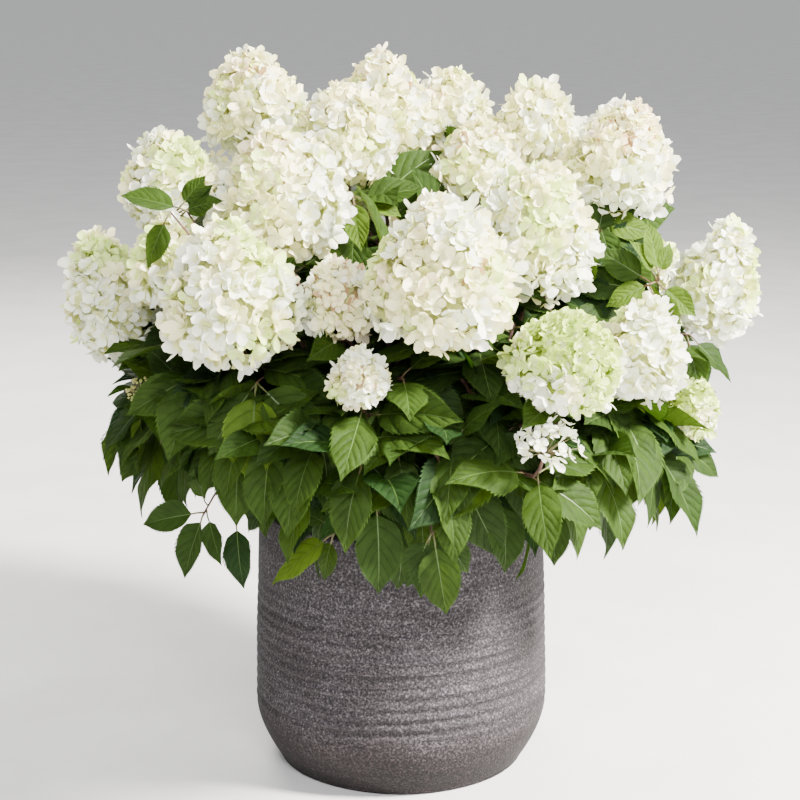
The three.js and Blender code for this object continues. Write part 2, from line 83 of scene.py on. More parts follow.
# Each foliage mass's bough, its own rules, and its heads: bearing, reach and height of the middle,
# width, length and kind of blossom.
MASSES = {
    "front": ("front", {"half": 16, "lift": -4}, (
        (-81, 273, 628, 148, 162, "cream"), (-98, 303, 524, 62, 70, "small_white"))),
    "front_inner": ("front", {"side": True}, (
        (-137, 178, 686, 144, 156, "cream"), (-106, 231, 592, 80, 88, "small_blush"))),
    "front_left": ("front_left", {"half": 20, "lift": 50}, (
        (-125.5, 302, 601, 138, 160, "fresh"), (-149, 282, 616, 92, 110, "fresh"))),
    "left": ("left", {"half": 21, "lift": 24, "limit": 352}, (
        (-171, 331, 567, 104, 160, "fresh"), (-154, 318, 473, 42, 40, "buds"))),
    "left_top": ("left", {"side": True}, (
        (176, 267, 688, 106, 120, "fresh"),)),
    "back_left": ("back_left", {"half": 22}, (
        (125, 315, 580, 118, 132, "cream"), (153, 338, 540, 104, 120, "fresh"))),
    "top_left": ("back_left", {"side": True}, (
        (155, 190, 774, 118, 124, "cream"), (150, 262, 660, 92, 104, "cream"))),
    "back": ("back", {"half": 22}, (
        (80, 292, 600, 130, 146, "cream"), (103, 330, 478, 80, 88, "lime"),
        (108, 236, 664, 112, 126, "fresh"))),
    "top_back": ("back", {"side": True}, (
        (101, 116, 762, 116, 136, "cream"), (72, 199, 752, 98, 114, "cream"))),
    "back_right": ("back_right", {"half": 22}, (
        (50, 326, 560, 118, 134, "fresh"), (24, 330, 545, 106, 124, "white"))),
    "top_right_back": ("back_right", {"side": True}, (
        (32, 189, 744, 98, 114, "cream"), (38, 278, 690, 92, 108, "fresh"))),
    "right": ("right", {"half": 20}, (
        (-3, 363, 576, 96, 154, "white"),)),
    "top_right": ("right", {"side": True}, (
        (0, 248, 714, 122, 138, "blush"),)),
    "right_front": ("right_front", {"half": 15}, (
        (-35, 313, 526, 94, 126, "white"), (-17, 341, 443, 60, 70, "small_lime"))),
    "upper_right": ("right_front", {"side": True}, (
        (-44, 203, 652, 126, 152, "fresh"),)),
    "front_right": ("front_right", {"half": 17}, (
        (-59, 326, 540, 128, 110, "lime"), (-65, 345, 456, 76, 64, "lace"))),
    "top_centre": ("centre", {}, (
        (19, 94, 704, 104, 108, "cream"), (-172, 66, 738, 116, 126, "cream"))),
}
FOLIAGE = tuple("foliage_" + name for name in MASSES)

# Shoots whose leaves the photograph shows one by one: the tip, the share of the stem that they
# leave from, the bearing that their leaves face, how much they face upwards, and each leaf's
# distance back from the tip, bearing, rise, size and tone.
SPRAYS = {
    "front": (
        ((-105, 269, 347), 0.3, -95, 1.3, (
            (0, 180, -37, 0.85, 3), (3, 180, -72, 0.52, 2), (5, 180, 30, 0.5, 1), (2, 0, 68, 0.55, 1),
            (6, 0, 8, 0.5, 1))),
        ((-84, 315, 362), 0.4, -85, 0.5, (
            (0, -40, -78, 0.85, 2), (4, 180, -66, 0.62, 1), (8, -150, -80, 0.7, 1), (10, 0, -50, 0.6, 1)))),
    "front_inner": (
        ((-121, 102, 683), 0.9, -90, 0.5, (
            (0, -80, -52, 0.62, 3), (24, -95, -58, 0.62, 2), (3, 0, -20, 0.5, 3), (8, 5, 12, 0.75, 2),
            (45, -70, -55, 0.8, 2), (50, -10, -45, 0.8, 1), (55, -120, -50, 0.7, 0))),),
    "front_left": (
        ((-137, 291, 350), 0.3, -110, 0.5, (
            (2, 180, -8, 0.64, 1), (4, 180, -68, 0.78, 1), (6, -60, -60, 0.56, 1), (10, -120, 55, 0.45, 2))),
        ((-131, 270, 348), 0.3, -105, 0.5, ((0, -80, -72, 0.72, 0),)),
        ((-146, 275, 672), 0.8, -95, 2.4, ((0, 180, 18, 0.66, 2),)),
        ((-149, 281, 671), 0.8, -95, 0.5, (
            (1, -10, 50, 0.42, 2), (3, -30, 20, 0.5, 2), (8, 0, 45, 0.4, 1))),
        ((-140, 313, 677), 0.8, -85, 0.5, ((0, -170, -62, 0.58, 2),)),
        ((-121, 291, 505), 0.6, -95, 0.5, (
            (0, -100, -68, 1.05, 3), (3, -25, -38, 0.95, 2), (8, -160, -50, 0.9, 2))),
        ((-138, 296, 503), 0.6, -100, 0.5, (
            (0, -170, -28, 0.78, 2), (4, -120, -55, 0.95, 2)))),
    "left": (
        ((-154, 318, 455), 0.5, -120, 0.5, (
            (0, -90, -80, 0.42, 3), (10, 180, -45, 0.8, 1), (14, -170, -60, 0.75, 1))),),
    "right": (
        ((-12, 331, 522), 0.8, -65, 0.5, (
            (0, -20, -42, 0.66, 1), (3, -70, -56, 0.66, 2), (14, -110, -60, 0.7, 0), (20, -30, -66, 0.75, 0),
            (10, -10, -62, 0.7, 1))),),
    "right_front": (
        ((-28, 316, 409), 0.5, -60, 0.5, (
            (0, -10, -55, 1.1, 1), (4, -90, -60, 0.85, 1), (10, 30, -25, 0.7, 0), (8, -140, -55, 0.8, 2))),),
    "upper_right": (
        ((-21, 303, 590), 0.7, -75, 0.5, (
            (0, 180, 80, 0.6, 3), (2, -155, 58, 0.48, 3), (8, 175, 32, 0.64, 2), (3, -165, -20, 0.54, 3),
            (4, -25, -34, 0.5, 3), (12, -55, -50, 0.66, 3), (4, 10, 70, 0.36, 3), (24, 165, 8, 0.8, 1),
            (34, 165, -12, 0.85, 0))),
        ((-8, 226, 650), 0.8, -75, 0.5, (
            (0, 0, -36, 0.74, 2), (3, -60, -56, 0.56, 2), (5, 0, -12, 0.6, 3), (14, 0, -50, 0.8, 1),
            (8, 190, -30, 0.6, 1), (16, -100, -60, 0.6, 1), (12, 10, 16, 0.6, 1))),
        ((-10, 228, 628), 0.6, -80, 0.5, (
            (0, 5, -14, 0.75, 1), (6, -50, -50, 0.7, 0), (10, 10, 8, 0.8, 0), (8, 0, -40, 0.85, 0),
            (8, 30, 74, 0.66, 1))),
        ((-16, 213, 590), 0.5, -80, 0.5, (
            (0, 0, 4, 0.5, 2), (4, -40, -28, 0.6, 1), (8, 10, -30, 0.8, 0), (12, -80, -40, 0.7, 0),
            (6, 5, 24, 0.75, 0)))),
    "top_centre": (
        ((49, 33, 655), 0.6, -90, 0.5, (
            (0, 150, 68, 0.62, 1), (2, 30, 60, 0.6, 1), (5, 100, 74, 0.72, 0))),),
}

# Places where the photograph shows bare twigs between the leaves: bearing, reach, height, radius.
GAPS = ((-80, 290, 508, 34), (-82, 250, 500, 26), (-70, 308, 372, 24), (-68, 270, 372, 20),
        (-107, 275, 440, 16), (-155, 328, 526, 22))

# Kinds of blossom: sepal length in mm, how much of the solids' head they fill, the share of each
# outer tone at the rim and at the top, and the share of russet in the inner florets near the top.
Blossom = namedtuple("Blossom", "sepal fill rim top russet", defaults=(0, 0.95, (), (), 0))
BLOSSOM = {
    "cream": Blossom(12.0, 0.95, (0.55, 0.38, 0.07, 0, 0), (0.18, 0.68, 0.08, 0.06, 0), 0.1),
    "fresh": Blossom(12.0, 0.95, (0.7, 0.16, 0.14, 0, 0), (0.3, 0.36, 0.34, 0, 0), 0),
    "white": Blossom(11.8, 0.95, (0.86, 0.08, 0.06, 0, 0), (0.62, 0.16, 0.22, 0, 0), 0),
    "blush": Blossom(12.0, 0.95, (0.62, 0.33, 0.05, 0, 0), (0.35, 0.45, 0, 0.2, 0), 0.3),
    "lime": Blossom(9.8, 0.86, (0.42, 0.08, 0.42, 0, 0.08), (0, 0.04, 0.26, 0, 0.7), 0),
    "small_white": Blossom(7.2, 0.86, (0.85, 0.1, 0.05, 0, 0), (0.5, 0.35, 0, 0.15, 0), 0.6),
    "small_blush": Blossom(8.6, 0.95, (0.65, 0.3, 0, 0.05, 0), (0.4, 0.38, 0, 0.22, 0), 0.6),
    "small_lime": Blossom(7.5, 0.95, (0.35, 0.1, 0.45, 0, 0.1), (0, 0.05, 0.45, 0, 0.5), 0),
    "lace": Blossom(9.6, 1.08),
    "buds": Blossom(),
}
TONES = ("white", "cream", "green", "blush", "lime", "inner", "moss_shade", "russet")
LAST_OUTER_TONE = 4
BLOSSOM_PATCHES = 0.35

LEAF = Sizes(blade=90, width=51, stalk=14, spacing=27, first=8, stagger=2, outwards=0.5, to_light=0.8,
             limit=384, level_above=640, sag_over=240)
# How paired leaves are set in radians, how far each may be off, and what their sag adds.
POSE = Sizes(pairs=4, pitch=0.42, pitch_off=0.5, pitch_sag=0.68, droop=0.42, droop_off=0.38, droop_sag=0.36,
             size_off=0.27, first_less=0.16, twist_off=0.6, roll_off=0.9)
LEAF_TONES = ("deep", "mid", "light", "young")

Head = namedtuple("Head", "centre axis foot width length kind blossom seed")
Leaf = namedtuple("Leaf", "root heading above grow droop tone kept", defaults=(False,))
Mass = namedtuple("Mass", "stem shoots heads leaves limit")


# Numbers and curves

def seeded(seed):
    """The minimal standard random generator, as in the solids' source."""
    modulus = 2147483647
    state = (seed * 7919 + 12345) % modulus

    def draw():
        nonlocal state
        state = (state * 16807) % modulus
        return state / modulus
    return draw


def spread(draw, amount):
    return (draw() * 2 - 1) * amount


def at(bearing, reach, height):
    angle = math.radians(bearing)
    return np.array([reach * math.cos(angle), reach * math.sin(angle), height])


def unit(vectors):
    vectors = np.asarray(vectors, float)
    return vectors / np.maximum(np.linalg.norm(vectors, axis=-1, keepdims=True), 1e-9)


def circle(number):
    """Even angles round a circle."""
    return np.linspace(0, 2 * math.pi, number, endpoint=False)


def turned(radius, angle, height):
    """Points about the upright axis; the angle is in radians."""
    return np.stack(np.broadcast_arrays(radius * np.cos(angle), radius * np.sin(angle), height), axis=-1)


def lean_matrix(axis):
    """The shortest turn that takes UP to axis, as a matrix."""
    x, y, z = axis
    return np.array([
        [1 - x * x / (1 + z), -x * y / (1 + z), x],
        [-x * y / (1 + z), 1 - y * y / (1 + z), y],
        [-x, -y, z],
    ])


def set_out(origins, axes, local):
    """Points round each origin: three arrays of copies x points, measured along its three axes."""
    points = origins[:, None]
    for along, axis in zip(local, axes):
        points = points + along[..., None] * axis[:, None]
    return points


class Curve:
    """A quadratic curve that is read by share of its length."""

    def __init__(self, root, bend, tip):
        self.root, self.bend, self.tip = root, bend, tip
        self.times = np.linspace(0, 1, 121)
        steps = np.linalg.norm(np.diff(self._at(self.times), axis=0), axis=1)
        self.along = np.concatenate([[0], np.cumsum(steps)])
        self.length = self.along[-1]

    def _at(self, times):
        t = np.asarray(times)[..., None]
        return (1 - t) ** 2 * self.root + 2 * t * (1 - t) * self.bend + t * t * self.tip

    def _time(self, share):
        return np.interp(np.asarray(share) * self.length, self.along, self.times)

    def point(self, share):
        return self._at(self._time(share))

    def tangent(self, share):
        t = self._time(share)
        return unit(2 * (1 - t) * (self.bend - self.root) + 2 * t * (self.tip - self.bend))


class Heap:
    """Triangles gathered from many small shapes for one joined piece."""

    def __init__(self):
        self.points, self.faces, self.count = [], [], 0

    def add(self, points, faces):
        self.points.append(np.asarray(points, float).reshape(-1, 3))
        self.faces.append(np.asarray(faces).reshape(-1, 3) + self.count)
        self.count += len(self.points[-1])

    def copies(self, points, faces):
        """points is copies x vertices x 3, all with the same faces, added in small batches."""
        many, each = points.shape[:2]
        for start in range(0, many, BATCH):
            batch = points[start:start + BATCH]
            self.add(batch, faces[None] + (np.arange(len(batch)) * each)[:, None, None])


def grid_faces(rows, columns, closed=False):
    """Triangles over a grid of rows x columns points; closed joins the last column to the first."""
    r, c = np.meshgrid(np.arange(rows - 1), np.arange(columns if closed else columns - 1), indexing="ij")
    a, b = r * columns + c, r * columns + (c + 1) % columns
    quads = np.stack([a, b, b + columns, a, b + columns, a + columns], axis=-1)
    return quads.reshape(-1, 3)


def tube(heap, centres, radii, sides, relief=0):
    """A closed tube through the centres; relief adds to the radius at each ring and side."""
    centres = np.asarray(centres, float)
    tangents = unit(np.gradient(centres, axis=0))
    guide = np.array([0.31, 0.87, 0.12])
    across = unit(guide - (tangents @ guide)[:, None] * tangents)
    beside = np.cross(tangents, across)
    angle = circle(sides)[None, :, None]
    ring = across[:, None] * np.cos(angle) + beside[:, None] * np.sin(angle)
    radius = np.asarray(radii, float)[:, None] + relief
    points = (centres[:, None] + ring * radius[..., None]).reshape(-1, 3)
    last, side = len(points), np.arange(sides)
    onward = (side + 1) % sides
    foot = np.stack([np.full(sides, last), onward, side], axis=-1)
    top = np.stack([np.full(sides, last + 1), last - sides + side, last - sides + onward], axis=-1)
    heap.add(np.vstack([points, centres[0], centres[-1]]),
             np.vstack([grid_faces(len(centres), sides, closed=True), foot, top]))


# Pieces

def link(name, data):
    thing = bpy.data.objects.new(name, data)
    bpy.context.scene.collection.objects.link(thing)
    return thing


def make_piece(name, heap, material, nodes=FOLIAGE, smooth=True):
    """One joined mesh in metres, of the named material, that stands for the named nodes."""
    mesh = bpy.data.meshes.new(name)
    mesh.from_pydata(np.concatenate(heap.points) * MM, [], np.concatenate(heap.faces))
    mesh.polygons.foreach_set("use_smooth", np.full(len(mesh.polygons), smooth))
    mesh.update(calc_edges=True)
    mesh.validate()
    mesh.materials.append(bpy.data.materials[material])
    piece = link(name, mesh)
    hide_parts(*nodes)
    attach(piece, "root")
    return piece


def make_pieces(name, heap, material):
    """The heap as one piece, or as several numbered ones where one would be too large."""
    number = 1 + sum(len(faces) for faces in heap.faces) // PIECE_LIMIT
    if number == 1:
        return [make_piece(name, heap, material)]
    share = math.ceil(len(heap.points) / number)
    starts = np.cumsum([0] + [len(points) for points in heap.points])
    pieces = []
    for part in range(number):
        chosen = slice(part * share, (part + 1) * share)
        fewer = Heap()
        for points, faces, start in zip(heap.points[chosen], heap.faces[chosen], starts[chosen]):
            fewer.add(points, faces - start)
        pieces.append(make_piece(name + "_" + str(part + 1), fewer, material))
    return pieces


def colour_parts(piece, parts, materials):
    """More materials for a piece of many like shapes: parts numbers the material of each triangle."""
    for material in materials:
        piece.data.materials.append(bpy.data.materials[material])
    copies = len(piece.data.polygons) // len(parts)
    piece.data.polygons.foreach_set("material_index", np.tile(parts, copies).astype(np.int32))


# Growth, as in the solids

def bough_curve(index, bearing, reach, height):
    root = at(bearing, BOUGH.root_reach, SOIL.top + BOUGH.levels[index % len(BOUGH.levels)])
    rise = height - root[2]
    bend = at(bearing, BOUGH.root_reach + reach * 0.62, root[2] + rise * 0.42)
    return Curve(root, bend, at(bearing, reach, height))


def plan_heads(rows, number):
    heads = []
    for index, (bearing, reach, height, width, length, kind) in enumerate(rows):
        lean = math.radians(HEAD.lean * reach / HEAD.lean_reach)
        axis = at(bearing, math.sin(lean), math.cos(lean))
        centre = at(bearing, reach, height)
        foot = centre - axis * HEAD.foot * length
        heads.append(Head(centre, axis, foot, width, length, kind, BLOSSOM[kind], number * 50 + index))
    return heads


def stem_curve(bough, heads, side=False):
    """From the bough's tip, or from its side, to the hub where the shoots part."""
    share = STEM.side_share if side else 1.0
    root = bough.point(share)
    crown = np.mean([head.foot for head in heads], axis=0)
    hub = root + (crown - root) * STEM.hub_share
    rising = UP if side else bough.tangent(share)
    return Curve(root, root + rising * np.linalg.norm(hub - root) * 0.4, hub)


def leafy_curve(stem, tip, share):
    """An arching shoot from the stem to its tip."""
    start = stem.point(share)
    return Curve(start, (start + tip) / 2 + UP * 0.14 * np.linalg.norm(start - tip), tip)


def sag_at(height):
    """How much the leaves hang: level at the crown's top, hanging in the skirt."""
    return min(1.0, max(0.1, (LEAF.level_above - height) / LEAF.sag_over))


def skirt_shoots(stem, number, bearing, half, lift=0):
    """The skirt's shoots and their tips' heights."""
    draw = seeded(number * 31 + 5)
    shoots = []
    for tier, (height, reach, shares) in enumerate(SKIRT):
        for place, share in enumerate(shares):
            tip = at(bearing + share * half + spread(draw, 3), reach + spread(draw, 16),
                     height + lift * (tier < 2) + spread(draw, 12))
            shoots.append((leafy_curve(stem, tip, min(0.95, 0.22 + 0.13 * tier + 0.04 * place)), tip[2]))
    return shoots


def leaf_frame(curve, along, twist, pitch, sag, stagger, aside):
    """Root, heading and upper side of a leaf; aside rolls it to the left or right.

    Leaves on the flanks turn their upper side to the light in front.
    """
    root, axis = curve.point(along), curve.tangent(along)
    outwards = unit(root * [1, 1, 0])
    heading = lean_matrix(axis) @ np.array([math.cos(twist), math.sin(twist), 0.0])
    heading = unit((heading + outwards * LEAF.outwards * sag) * [1, 1, 0.5])
    heading = unit(heading * math.cos(pitch) + UP * math.sin(pitch))
    above = UP + outwards * 0.8 * sag + aside * np.cross(UP, outwards)
    above = above + LIGHT_SIDE * LEAF.to_light * (1 - abs(outwards[1]))
    return root + axis * stagger, heading, square_to(heading, above)


def square_to(heading, above):
    return unit(above - heading * above.dot(heading))


def tone_near(tone, draw):
    """The spray's tone, or now and then its neighbour, but never the young leaves' own."""
    return min(LEAF_TONES.index("light"), max(0, tone + (draw() > 0.82) - (draw() > 0.7)))


def paired_leaves(curve, first_below, sag, seed, tone, size=1.0):
    """Opposite leaves at each node below the curve's end, each pair a quarter turn on."""
    leaves = []
    for pair in range(POSE.pairs):
        draw = seeded(seed * 10 + pair)
        along = 1 - (first_below + pair * LEAF.spacing) / curve.length
        twist = spread(draw, POSE.twist_off) + pair * math.pi / 2 + (seed % 7) * 0.45
        for opposite in (0, math.pi):
            pitch = POSE.pitch + spread(draw, POSE.pitch_off) - POSE.pitch_sag * sag
            grow = size * (1 + spread(draw, POSE.size_off) - (POSE.first_less if pair == 0 else 0))
            droop = POSE.droop + POSE.droop_sag * sag + spread(draw, POSE.droop_off)
            if along <= 0.04:
                continue
            stagger = LEAF.stagger * (1 if opposite else -1)
            pose = leaf_frame(curve, along, twist + opposite + spread(draw, 0.3), pitch, sag, stagger,
                              spread(draw, POSE.roll_off))
            leaves.append(Leaf(*pose, grow, droop, tone_near(tone, draw)))
    return leaves


def end_leaf(curve, sag, seed, tone):
    """The leaf that carries the twig on at its end."""
    draw = seeded(seed * 10 + 9)
    aside = [spread(draw, 0.3), spread(draw, 0.3), spread(draw, 0.15) - 0.45 * sag]
    heading = unit(curve.tangent(1.0) + np.array(aside))
    return Leaf(curve.point(0.99), heading, square_to(heading, UP), 0.86 + spread(draw, 0.12),
                0.3 + 0.5 * sag, tone + 1)


def spray_leaf(curve, face, upwards, seed, leaf):
    """One leaf of a spray, its upper side turned up and to the bearing that the spray faces."""
    back, bearing, rise, size, tone = leaf
    draw = seeded(seed)
    slope = math.radians(rise)
    heading = at(bearing, math.cos(slope), math.sin(slope))
    facing = at(face + spread(draw, 25), 1, upwards + spread(draw, 0.2))
    return Leaf(curve.point(1 - back / curve.length), heading, square_to(heading, facing), size,
                0.35 + spread(draw, 0.2), tone, kept=True)


def plan_mass(name, number, bearing, bough, rules, rows):
    """A mass's stem, its shoots with their thickness, its heads and its leaves."""
    heads = plan_heads(rows, number)
    stem = stem_curve(bough, heads, rules.get("side"))
    shoots, leaves = [], []
    for head in heads:
        start, foot = stem.point(0.9), head.foot
        curve = Curve(start, foot - head.axis * 0.55 * np.linalg.norm(start - foot), foot)
        shoots.append((curve, 1.0))
        below = HEAD.bare * head.length + LEAF.first
        leaves += paired_leaves(curve, below, sag_at(foot[2] - below), head.seed, 2, 1.1)
    for index, (tip, share, face, upwards, shown) in enumerate(SPRAYS.get(name, ())):
        curve = leafy_curve(stem, at(*tip), share)
        shoots.append((curve, SHOOT.thin))
        seed = number * 500 + 20 * index
        leaves += [spray_leaf(curve, face, upwards, seed + place, leaf) for place, leaf in enumerate(shown)]
    if "half" in rules:
        skirt = skirt_shoots(stem, number, bearing, rules["half"], rules.get("lift", 0))
        for index, (curve, height) in enumerate(skirt):
            shoots.append((curve, 1.0))
            seed, sag = number * 50 + 30 + index, sag_at(height)
            tone, size = (0, 0.84) if height < LOW_SKIRT else (1, 1.0)
            leaves.append(end_leaf(curve, sag, seed, tone))
            leaves += paired_leaves(curve, LEAF.first, sag, seed, tone, size)
    return Mass(stem, shoots, heads, leaves, rules.get("limit", LEAF.limit))


# Leaving out what has no room

def planter_radius(height):
    share = np.maximum(0, (height - PLANTER.belly_from) / (PLANTER.height - PLANTER.belly_from))
    return PLANTER.belly_radius - (PLANTER.belly_radius - PLANTER.rim_radius) * share ** 1.6


def inside_head(points, head, margin=0.9):
    local = (points - head.centre) @ lean_matrix(head.axis)
    upwards = local[:, 2] / (head.length / 2)
    narrow = np.maximum(0.2, 1 - HEAD.taper * upwards) * head.width / 2
    flat = np.hypot(local[:, 0], local[:, 1]) / narrow
    return flat ** 2 + upwards ** 2 < margin ** 2


def before_head(points, head, reach=70, share=0.42):
    """Whether points lie just outwards of a head, where they would hide it."""
    local = points - head.centre
    outwards = unit(head.centre * [1, 1, 0])
    along = local @ outwards
    across = np.linalg.norm(local - along[:, None] * outwards, axis=1)
    return (along > 0) & (along < reach) & (across < share * head.width)


def leaf_probes(leaf):
    """Points down the middle of the blade, bent as the blade is."""
    step = LEAF.blade * leaf.grow / 4
    point = leaf.root + leaf.heading * LEAF.stalk
    probes = []
    for share in (0.125, 0.375, 0.625, 0.875):
        bent = leaf.droop * share
        point = point + (leaf.heading * math.cos(bent) - leaf.above * math.sin(bent)) * step
        probes.append(point)
    return np.array(probes)


def has_room(leaf, heads, taken, limit, least=14):
    """Whether a leaf stays in reach and clears the planter, the heads and the other leaves' middles."""
    probes = leaf_probes(leaf)
    middle = probes[1:3].mean(axis=0)
    if not leaf.kept:
        reach = np.hypot(probes[:, 0], probes[:, 1])
        low = probes[:, 2] < PLANTER.height + 4
        if np.any(low & (reach < planter_radius(probes[:, 2]) + 7)) or np.any(reach > limit):
            return False
        if any(np.any(inside_head(probes, head) | before_head(probes, head)) for head in heads):
            return False
        if any(np.min(np.linalg.norm(probes - at(*gap[:3]), axis=1)) < gap[3] for gap in GAPS):
            return False
        if taken and np.min(np.linalg.norm(np.array(taken) - middle, axis=1)) < least:
            return False
    taken.append(middle)
    return True


def grow_plant():
    """The boughs' curves and the planned masses, each with the leaves that it has room for."""
    curves = {name: bough_curve(i, *row) for i, (name, row) in enumerate(BOUGHS.items())}
    masses = [plan_mass(name, number, BOUGHS[bough][0], curves[bough], rules, rows)
              for number, (name, (bough, rules, rows)) in enumerate(MASSES.items(), 1)]
    heads = [head for mass in masses for head in mass.heads]
    taken = []
    for number, mass in enumerate(masses):
        leaves = sorted(mass.leaves, key=lambda leaf: not leaf.kept)
        leaves = [leaf for leaf in leaves if has_room(leaf, heads, taken, mass.limit)]
        masses[number] = mass._replace(leaves=leaves)
    return curves, masses


# Leaves

# Half width of a blade at shares of its length: round base, long drawn-out point.
BLADE_SHARES = (0.0, 0.05, 0.12, 0.22, 0.32, 0.42, 0.54, 0.66, 0.76, 0.84, 0.9, 0.95, 1.0)
BLADE_WIDTHS = (0.0, 0.42, 0.7, 0.91, 0.99, 1.0, 0.92, 0.74, 0.52, 0.3, 0.16, 0.08, 0.0)
BLADE_COLUMNS = (-1, -0.6, -0.18, 0, 0.18, 0.6, 1)
# How far blades differ: each number is drawn between these two for every leaf, in this order.
BLADE_RANGES = {"fold": (0.08, 0.6), "curl": (0.0, 0.4), "wave": (0.01, 0.055), "phase": (0, 2 * math.pi),
                "twist": (-0.6, 0.6), "breadth": (0.86, 1.1)}
WAVES_PER_BLADE = 1.7

VEINS = Sizes(pairs=6, forward=0.46, arc=1.5, groove=0.07, sunk=-0.0045, raised=0.0025, proud=0.002,
              teeth=0.07, inset=0.03, tooth_count=24, base=(0.03, 0.06))
FLAT_AREA = 1e-7


def vein_forward(middle):
    """How far a side vein that starts here runs on towards the tip before it meets the margin."""
    return VEINS.forward * (1 - middle) ** 0.9 * min(1, middle / 0.3) ** 0.7


def blade_rows():
    """Shares of the midrib where rows leave it, and whether each lies in a side vein's groove."""
    rows = [(0.0, True)] + [(share, False) for share in VEINS.base]
    for pair in range(1, VEINS.pairs + 1):
        rows += [((pair + way * VEINS.groove) / (VEINS.pairs + 1), way == 0) for way in (-1, 0, 1)]
    return rows + [(1.0, True)]


def blade_point(middle, v, relief):
    """A point of the unit blade on the row that leaves the midrib at middle, v half widths out."""
    edge = np.interp(middle + vein_forward(middle), BLADE_SHARES, BLADE_WIDTHS)
    return np.array([middle + vein_forward(middle) * abs(v) ** VEINS.arc, v * edge, relief])


def blade_template():
    """Points of a unit blade, its triangles, and their parts: 0 blade, 1 side vein (darker, as painted shade
    in its groove), 2 margin.

    Rows run forward from the midrib to the margin as the side veins do, with a narrow groove
    along each vein and a swell between it and the next.
    """
    rows, columns = blade_rows(), len(BLADE_COLUMNS)
    points = []
    for middle, grooved in rows:
        for v in BLADE_COLUMNS:
            relief = VEINS.sunk if grooved or v == 0 else VEINS.raised
            points.append(blade_point(middle, v, relief * (0.5 if abs(v) == 1 else 1)))
    points = np.array(points)
    strips = range(len(rows) - 1)
    # Faces in the side veins' grooves, which take the darker vein colour as painted shade.
    vein_shaded = [(rows[i][1] or rows[i + 1][1]) and 0 < i < len(rows) - 2 for i in strips]
    vein_shaded = np.repeat(vein_shaded, 2 * (columns - 1))
    faces = grid_faces(len(rows), columns)[:, ::-1]
    edges = points[faces[:, 1:], :2] - points[faces[:, :1], :2]
    open_faces = np.abs(edges[:, 0, 0] * edges[:, 1, 1] - edges[:, 0, 1] * edges[:, 1, 0]) > FLAT_AREA
    teeth, teeth_faces = margin_teeth()
    parts = np.concatenate([vein_shaded[open_faces], np.full(len(teeth_faces), 2)])
    return np.vstack([points, teeth]), np.vstack([faces[open_faces], teeth_faces + len(points)]), parts


def margin_teeth():
    """Forward-pointing teeth along both margins, set a little into the blade."""
    points, faces = [], []
    cuts = np.linspace(VEINS.base[0], 0.93, VEINS.tooth_count + 1)
    for way in (-1, 1):
        for foot, top in zip(cuts[:-1], cuts[1:]):
            a, b = (blade_point(m, way * (1 - VEINS.inset), VEINS.proud) for m in (foot, top))
            apex = blade_point(foot * 0.25 + top * 0.75, way * (1 + VEINS.teeth), VEINS.proud)
            first = len(points)
            points += [a, apex, b]
            faces.append((first, first + 1, first + 2) if way < 0 else (first + 2, first + 1, first))
    return np.array(points), np.array(faces)


def rib_template(steps=9):
    """A pale strip that tapers along the midrib."""
    shares = np.linspace(0.0, 0.94, steps)
    half = 0.022 * (1 - shares) + 0.004
    points = np.stack([np.repeat(shares, 2), np.column_stack([-half, half]).ravel(),
                       np.full(2 * steps, VEINS.sunk + VEINS.proud)], axis=-1)
    return points, grid_faces(steps, 2)[:, ::-1]


def bent_blades(leaves, template):
    """The template on every leaf: folded at the midrib, waved at the margin and drooping."""
    root, heading, above, grow, droop = (np.array(column) for column in list(zip(*leaves))[:5])
    dice = np.random.default_rng(len(leaves) * 17 + 3)
    drawn = {name: dice.uniform(*ends, (len(leaves), 1)) for name, ends in BLADE_RANGES.items()}
    length, half = LEAF.blade * grow[:, None], LEAF.width * grow[:, None] * drawn["breadth"] / 2
    u, v, relief = template.T[:, None]
    lift = (drawn["fold"] * np.abs(v) - drawn["curl"] * v * v) * half + relief * length
    lift = lift + drawn["wave"] * length * v * v * np.sin(2 * math.pi * WAVES_PER_BLADE * u + drawn["phase"])
    angle = droop[:, None] * u ** 1.2
    x = length * u * np.cos(angle / 2.2) + lift * np.sin(angle)
    y = v * half
    z = -length * u * np.sin(angle / 2.2) + lift * np.cos(angle)
    turn = drawn["twist"] * u
    y, z = y * np.cos(turn) - lift * np.sin(turn) * 0.5, z + y * np.sin(turn)
    axes = (heading, unit(np.cross(above, heading)), above)
    return set_out(root + heading * LEAF.stalk, axes, (x, y, z))


def thin_stalk(heap, start, end, lift, radii):
    """A stalk with three radii; lift moves its middle aside."""
    tube(heap, [start, (start + end) / 2 + lift, end], radii, 4)


# Blossom

# Sepals as rows, columns and half angle of their points: outer, inner and in the open head.
OUTER_SEPAL = ((0.42, 0.8, 1.0), 5, 43)
INNER_SEPAL = ((0.62, 1.0), 4, 43)
LACE_SEPAL = ((0.42, 0.8, 1.0), 5, 36)
# Four sepals to a floret; how far they are cupped, their share of the size, how far they are
# ruffled, and how far every other one lies above the rest.
FLORET = Sizes(sepals=4, cup=(0.0, 0.9), share=(0.84, 1.14), ruffle=(0.08, 0.24), overlap=0.09)
# Layers of a dense head: how far out, how many florets, and whether they are the outer ones.
LAYERS = ((1.0, 1.25, True), (0.85, 0.8, False))
# Florets of a dense and of an open head, and buds: how far apart or how many, how far each may be off,
# how low they reach, how much they tilt and turn upwards, their depths, and their share of the size.
DENSE = Sizes(spacing=1.5, off=0.5, lowest=-0.94, swell=0.05, rough=0.036, tilt=0.4, upwards=0.2,
              share=(0.85, 1.15))
LACE = Sizes(number=38, off=0.14, lowest=-0.8, tilt=0.35, upwards=0.25, depth=(0.35, 1.0), share=(0.8, 1.1))
BUDS = Sizes(number=70, off=0.1, depth=(0.35, 0.95), radius=(1.5, 2.5))
